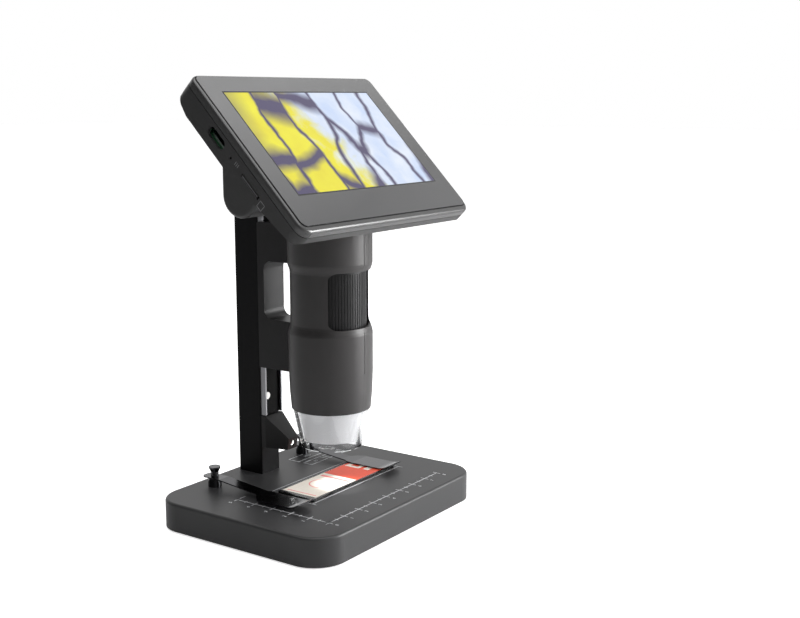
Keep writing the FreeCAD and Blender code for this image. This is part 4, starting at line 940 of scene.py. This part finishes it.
class StageBase(SubAssembly):
    """The base with its printed rules, slide outline and scale boxes."""

    coats = {
        "base_shell": "base_gloss",
        "base_plate": "black_plastic",
        "base_feet": "foot_rubber",
        "base_screws": "screw_steel",
        "ballast_weight": "ballast_iron",
    }
    # The print's finish, the body it rides on and the slot it takes.
    printed = ("mark_white", "base", "black_plastic")

    def __init__(self, forge: Forge, rule: RulerSize | None = None) -> None:
        """Keep the sizes.

        Args:
            forge: Makes and paints pieces.
            rule: Sizes of the printed rules.
        """
        super().__init__(forge)
        self.rule = rule or RulerSize()
        self.plan = StagePlan()
        self.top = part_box("base_shell")[1].z

    def _stroke(self, x0: float, y0: float, x1: float, y1: float) -> tuple[Vector, Vector]:
        """A printed line along X or Y.

        Args:
            x0: Start across.
            y0: Start along.
            x1: End across.
            y1: End along.

        Returns:
            The line's low and high corner.
        """
        half = self.rule.line / 2
        low = Vector((min(x0, x1) - half, min(y0, y1) - half, self.top))
        high = Vector((max(x0, x1) + half, max(y0, y1) + half, self.top + self.rule.ink))
        return low, high

    def _digits(self, x: float, y: float, text: str) -> tuple[str, Matrix, float]:
        """A number lying on the base.

        Args:
            x: Middle across.
            y: Middle along.
            text: The number.

        Returns:
            Text, place and size.
        """
        return text, Matrix.Translation((x, y, self.top)), self.rule.digit

    def build(self) -> None:
        """Print the rules, the slide outline and the scale boxes."""
        plan = self.plan
        left, front = plan.corner
        strokes = [
            self._stroke(left, front, plan.right, front),
            self._stroke(left, front, left, plan.back),
            self._stroke(left, plan.back, left + plan.hook, plan.back),
        ]
        x0, x1, y0, y1 = plan.slide
        for x in (x0, x1):
            for y in (y1, y0):
                strokes.append(self._stroke(x, y - plan.tick, x, y + plan.tick))
        strokes += [self._stroke(x0, y, x1, y) for y in (y1, y0)]
        for x0, x1, y0, y1 in plan.boxes:
            strokes += [
                self._stroke(x0, y0, x1, y0),
                self._stroke(x0, y1, x1, y1),
                self._stroke(x0, y0, x0, y1),
                self._stroke(x1, y0, x1, y1),
            ]
        self.forge.plates("stage_lines", strokes, *self.printed)
        self._ticks()
        across, along = plan.counts
        step = self.rule.step
        numbers = [self._digits(left + i * step, front - plan.aside, str(i)) for i in range(across)]
        numbers += [self._digits(left - plan.aside, front + i * step, str(i)) for i in range(1, along)]
        numbers += [self._digits(x, y, text) for text, x, y in plan.captions]
        self.forge.words("stage_numbers", numbers, *self.printed, self.rule.ink)

    def _ticks(self) -> None:
        """Print the long and the short ticks of both rules."""
        rule = self.rule
        start = Vector((*self.plan.corner, self.top + rule.ink / 2))
        across, along = self.plan.counts
        for side, step, count in (("front", Vector((rule.step, 0, 0)), across),
                                  ("side", Vector((0, rule.step, 0)), along)):
            for kind, length, first, number in (("long", rule.long, start, count),
                                                ("short", rule.short, start + step / 2, count - 1)):
                flat = (rule.line, length) if side == "front" else (length, rule.line)
                size = Vector((*flat, rule.ink))
                self.forge.repeat(f"{side}_rule_{kind}", first, step, number, size, *self.printed)


class Column(SubAssembly):
    """The column, its channel and the spot lamp."""

    coats = {
        "column": "black_metal",
        "column_cap": "black_plastic",
        "column_screws": "screw_steel",
        "guide_channel": "bare_aluminium",
        "channel_strip": "strip_black",
        "channel_screws": "screw_steel",
        "lamp_housing": "black_plastic",
        "lamp_lens": "clear_plastic",
        "lamp_board": "lamp_white",
    }


class Stage(SubAssembly):
    """The clips and the specimen slide."""

    coats = {
        "clip_posts": "clip_chrome",
        "stage_clip_left": "clip_chrome",
        "stage_clip_right": "clip_chrome",
        "specimen_slide": "clear_plastic",
        "slide_label": "label_paper",
    }


class Barrel(SubAssembly):
    """The carriage, the barrel and the focus train."""

    coats = {
        "carriage": "black_plastic",
        "carriage_screws": "screw_steel",
        "lock_knob": "black_plastic",
        "barrel_left": "barrel_plastic",
        "barrel_right": "barrel_plastic",
        "barrel_screws": "screw_steel",
        "clear_tip": "clear_plastic",
        "tip_diffuser": "frosted_plastic",
        "led_board": "green_board",
        "stage_leds": "lamp_white",
        "guide_sleeve": "black_plastic",
        "focus_wheel": "wheel_plastic",
        "lens_tube": "black_metal",
        "front_lens": "lens_glass",
        "rear_lens": "lens_glass",
        "lens_ring": "black_metal",
        "sensor_board": "green_board",
        "image_sensor": "sensor_glass",
        "hinge_pin": "screw_steel",
    }


@dataclass
class HeadMarks:
    """Sizes and places of the marks on the head's left side.

    Attributes:
        side: The side face's distance from the middle.
        ink: Thickness of a mark.
        bar: Width of a mark's strokes.
        port_mark: Middle of the mark between port and card slot, as (up, out).
        card_mark: Middle of the mark under the card slot, as (up, out).
        bar_gap: From one of the port mark's three bars to the next.
        bar_half: Half their length.
        square_half: Half the width of the card mark's square.
    """

    side: float = 59.0 * MM
    ink: float = 0.04 * MM
    bar: float = 0.25 * MM
    port_mark: tuple[float, float] = (-4.2 * MM, -6.8 * MM)
    card_mark: tuple[float, float] = (-23.3 * MM, -9.0 * MM)
    bar_gap: float = 0.9 * MM
    bar_half: float = 0.8 * MM
    square_half: float = 1.4 * MM


class ScreenHead(SubAssembly):
    """The leaning screen head."""

    coats = {
        "hinge_bushes": "bush_plastic",
        "rear_shell": "shell_plastic",
        "front_bezel": "bezel_gloss",
        "display_glass": "cover_glass",
        "lcd_module": "black_plastic",
        "battery": "cell_wrap",
        "main_board": "green_board",
        "side_board": "green_board",
        "usb_port": "polished_steel",
        "card_socket": "polished_steel",
        "memory_card": "card_plastic",
        "key_board": "green_board",
        "head_screws": "screw_steel",
        **dict.fromkeys(("power_key", "menu_key", "up_key", "ok_key", "down_key"), "key_plastic"),
    }

    def __init__(self, forge: Forge, marks: HeadMarks | None = None) -> None:
        """Keep the sizes.

        Args:
            forge: Makes and paints pieces.
            marks: Sizes of the side marks.
        """
        super().__init__(forge)
        self.marks = marks or HeadMarks()
        self.seat = Matrix.Translation(HEAD_ORIGIN) @ Matrix.Rotation(LEAN, 4, "X")

    def build(self) -> None:
        """Print the small plain marks beside the port and the card slot."""
        m = self.marks
        x0, x1 = -m.side - m.ink, -m.side
        thin = m.bar / 2
        spans = []
        up, out = m.port_mark
        for k in (-1, 0, 1):
            y = up + k * m.bar_gap
            spans.append((y - thin, y + thin, out - m.bar_half, out + m.bar_half))
        up, out = m.card_mark
        half = m.square_half
        for k in (-1, 1):
            y = up + k * half
            z = out + k * half
            spans.append((y - thin, y + thin, out - half, out + half))
            spans.append((up - half, up + half, z - thin, z + thin))
        bars = [(Vector((x0, y0, z0)), Vector((x1, y1, z1))) for y0, y1, z0, z1 in spans]
        self.forge.plates("side_marks", bars, "icon_grey", "head", "black_plastic", self.seat)


@dataclass
class LampSetup:
    """One light of the studio.

    Attributes:
        name: Its name.
        place: Where it stands.
        aim: What it looks at.
        size: Its width and height.
        power: Its power in watts.
    """

    name: str
    place: tuple[float, float, float]
    aim: tuple[float, float, float]
    size: tuple[float, float]
    power: float


@dataclass
class Studio:
    """Floor, light and camera.

    Attributes:
        paints: Where finishes come from.
        lamps: The lights.
        camera_place: The camera's place.
        azimuth: The camera's bearing, in degrees.
        elevation: The camera's height angle, in degrees.
        lens: The camera's focal length, in millimetres.
        sensor: The camera's sensor width, in millimetres.
        clip: The nearest and the farthest that the camera sees.
        dark_side: Bearing from which less light comes.
        fade: Where towards it the light begins to fall, and where it is least.
        dark_share: What is left of the light there.
        soft: Share of the light that scattered rays get, and what mirror-like rays get more.
        glow_place: Where the ring light's glow starts.
        glow_aim: Where it falls.
        glow_power: Its power in watts.
        glow_cone: Its whole angle, in degrees.
        glow_blend: Share of the cone over which it fades.
        glow_radius: Radius of its source.
    """

    paints: Paintbox
    lamps: list[LampSetup] = field(default_factory=lambda: [
        LampSetup("key", (0.60, -0.75, 0.30), (0, 0, 0.06), (0.4, 0.5), 15.0),
        LampSetup("top", (-0.1, -0.1, 0.95), (0, 0, 0.0), (0.9, 0.9), 7.0),
    ])
    camera_place: tuple[float, float, float] = (-0.40405, -0.32333, 0.18378)
    azimuth: float = -55.245
    elevation: float = 10.081
    lens: float = 53.99
    sensor: float = 36.0
    clip: tuple[float, float] = (0.01, 50.0)
    dark_side: tuple[float, float, float] = (-0.94, 0.34, 0.0)
    fade: tuple[float, float] = (0.0, 0.7)
    dark_share: float = 0.15
    soft: tuple[float, float] = (0.30, 0.70)
    glow_place: tuple[float, float, float] = (0, -0.0062, 0.050)
    glow_aim: tuple[float, float, float] = (0, -0.010, 0.013)
    glow_power: float = 0.12
    glow_cone: float = 40.0
    glow_blend: float = 0.8
    glow_radius: float = 0.002

    def build(self) -> None:
        """Make the floor, the surroundings, the lights and the camera."""
        LOG.info("building the studio")
        self._floor()
        self._world()
        for lamp in self.lamps:
            self._lamp(lamp)
        self._stage_light()
        self._camera()
        bpy.context.scene.view_settings.view_transform = "Standard"

    def _floor(self) -> None:
        """Lay the pale floor."""
        mesh = bpy.data.meshes.new("floor")
        reach = FLOOR_REACH
        corners = [(-reach, -reach, 0), (reach, -reach, 0), (reach, reach, 0), (-reach, reach, 0)]
        mesh.from_pydata(corners, [], [(0, 1, 2, 3)])
        mesh.materials.append(self.paints.get("floor"))
        placed("floor", mesh)

    def _world(self) -> None:
        """White where the camera sees it, also through clear parts, and darker as light from the left."""
        world = bpy.data.worlds.new("studio")
        bpy.context.scene.world = world
        world.use_nodes = True
        world.node_tree.nodes.clear()
        graph = Graph(world.node_tree)
        path = graph.add("ShaderNodeLightPath")
        seen = graph.maths("MAXIMUM", path.outputs["Is Camera Ray"], path.outputs["Is Transmission Ray"])
        facing = graph.add("ShaderNodeTexCoord").outputs["Generated"]
        values = {0: facing, 1: self.dark_side}
        left = graph.add("ShaderNodeVectorMath", values, operation="DOT_PRODUCT").outputs[1]
        flag = graph.ramp(left, *self.fade, 1.0, self.dark_share)
        scattered, added = self.soft
        soft = graph.maths("MULTIPLY_ADD", path.outputs["Is Glossy Ray"], added, scattered)
        strength = graph.maths("MAXIMUM", seen, graph.maths("MULTIPLY", soft, flag))
        back = graph.add("ShaderNodeBackground", {"Color": (1, 1, 1, 1), "Strength": strength})
        out = graph.add("ShaderNodeOutputWorld", {"Surface": back.outputs[0]})
        out.is_active_output = True

    @staticmethod
    def _aimed(place: Vector, aim: Vector) -> Matrix:
        """A place and turn that looks from one point to another.

        Args:
            place: Where it stands.
            aim: What it looks at.

        Returns:
            The world matrix.
        """
        turn = (aim - place).to_track_quat("-Z", "Y").to_matrix().to_4x4()
        return Matrix.Translation(place) @ turn

    def _lamp(self, setup: LampSetup) -> None:
        """Hang one soft light.

        Args:
            setup: Its sizes and place.
        """
        light = bpy.data.lights.new(setup.name, "AREA")
        light.shape = "RECTANGLE"
        light.size, light.size_y = setup.size
        light.energy = setup.power
        lamp = placed(setup.name, light)
        lamp.matrix_world = self._aimed(Vector(setup.place), Vector(setup.aim))

    def _stage_light(self) -> None:
        """The glow that the microscope's own ring light throws on the stage."""
        light = bpy.data.lights.new("ring_glow", "SPOT")
        light.energy = self.glow_power
        light.spot_size = math.radians(self.glow_cone)
        light.spot_blend = self.glow_blend
        light.shadow_soft_size = self.glow_radius
        lamp = placed("ring_glow", light)
        lamp.matrix_world = self._aimed(Vector(self.glow_place), Vector(self.glow_aim))
        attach(lamp, "carriage")

    def _camera(self) -> None:
        """Set the camera as the picture was taken."""
        data = bpy.data.cameras.new("camera")
        data.sensor_fit = "HORIZONTAL"
        data.sensor_width = self.sensor
        data.lens = self.lens
        data.clip_start, data.clip_end = self.clip
        camera = placed("camera", data)
        a, e = math.radians(self.azimuth), math.radians(self.elevation)
        back = Vector((math.sin(a) * math.cos(e), -math.cos(a) * math.cos(e), math.sin(e)))
        place = Vector(self.camera_place)
        camera.matrix_world = self._aimed(place, place - back)
        bpy.context.scene.camera = camera


def main() -> None:
    """Build every sub-assembly, then the studio."""
    logging.basicConfig(level=logging.INFO, format="%(name)s: %(message)s")
    paints = Paintbox()
    forge = Forge(paints)
    for kind in (StageBase, Column, Stage, Barrel, ScreenHead):
        kind(forge).run()
    Studio(paints).build()
    LOG.info("done")


if __name__ == "__main__":
    main()
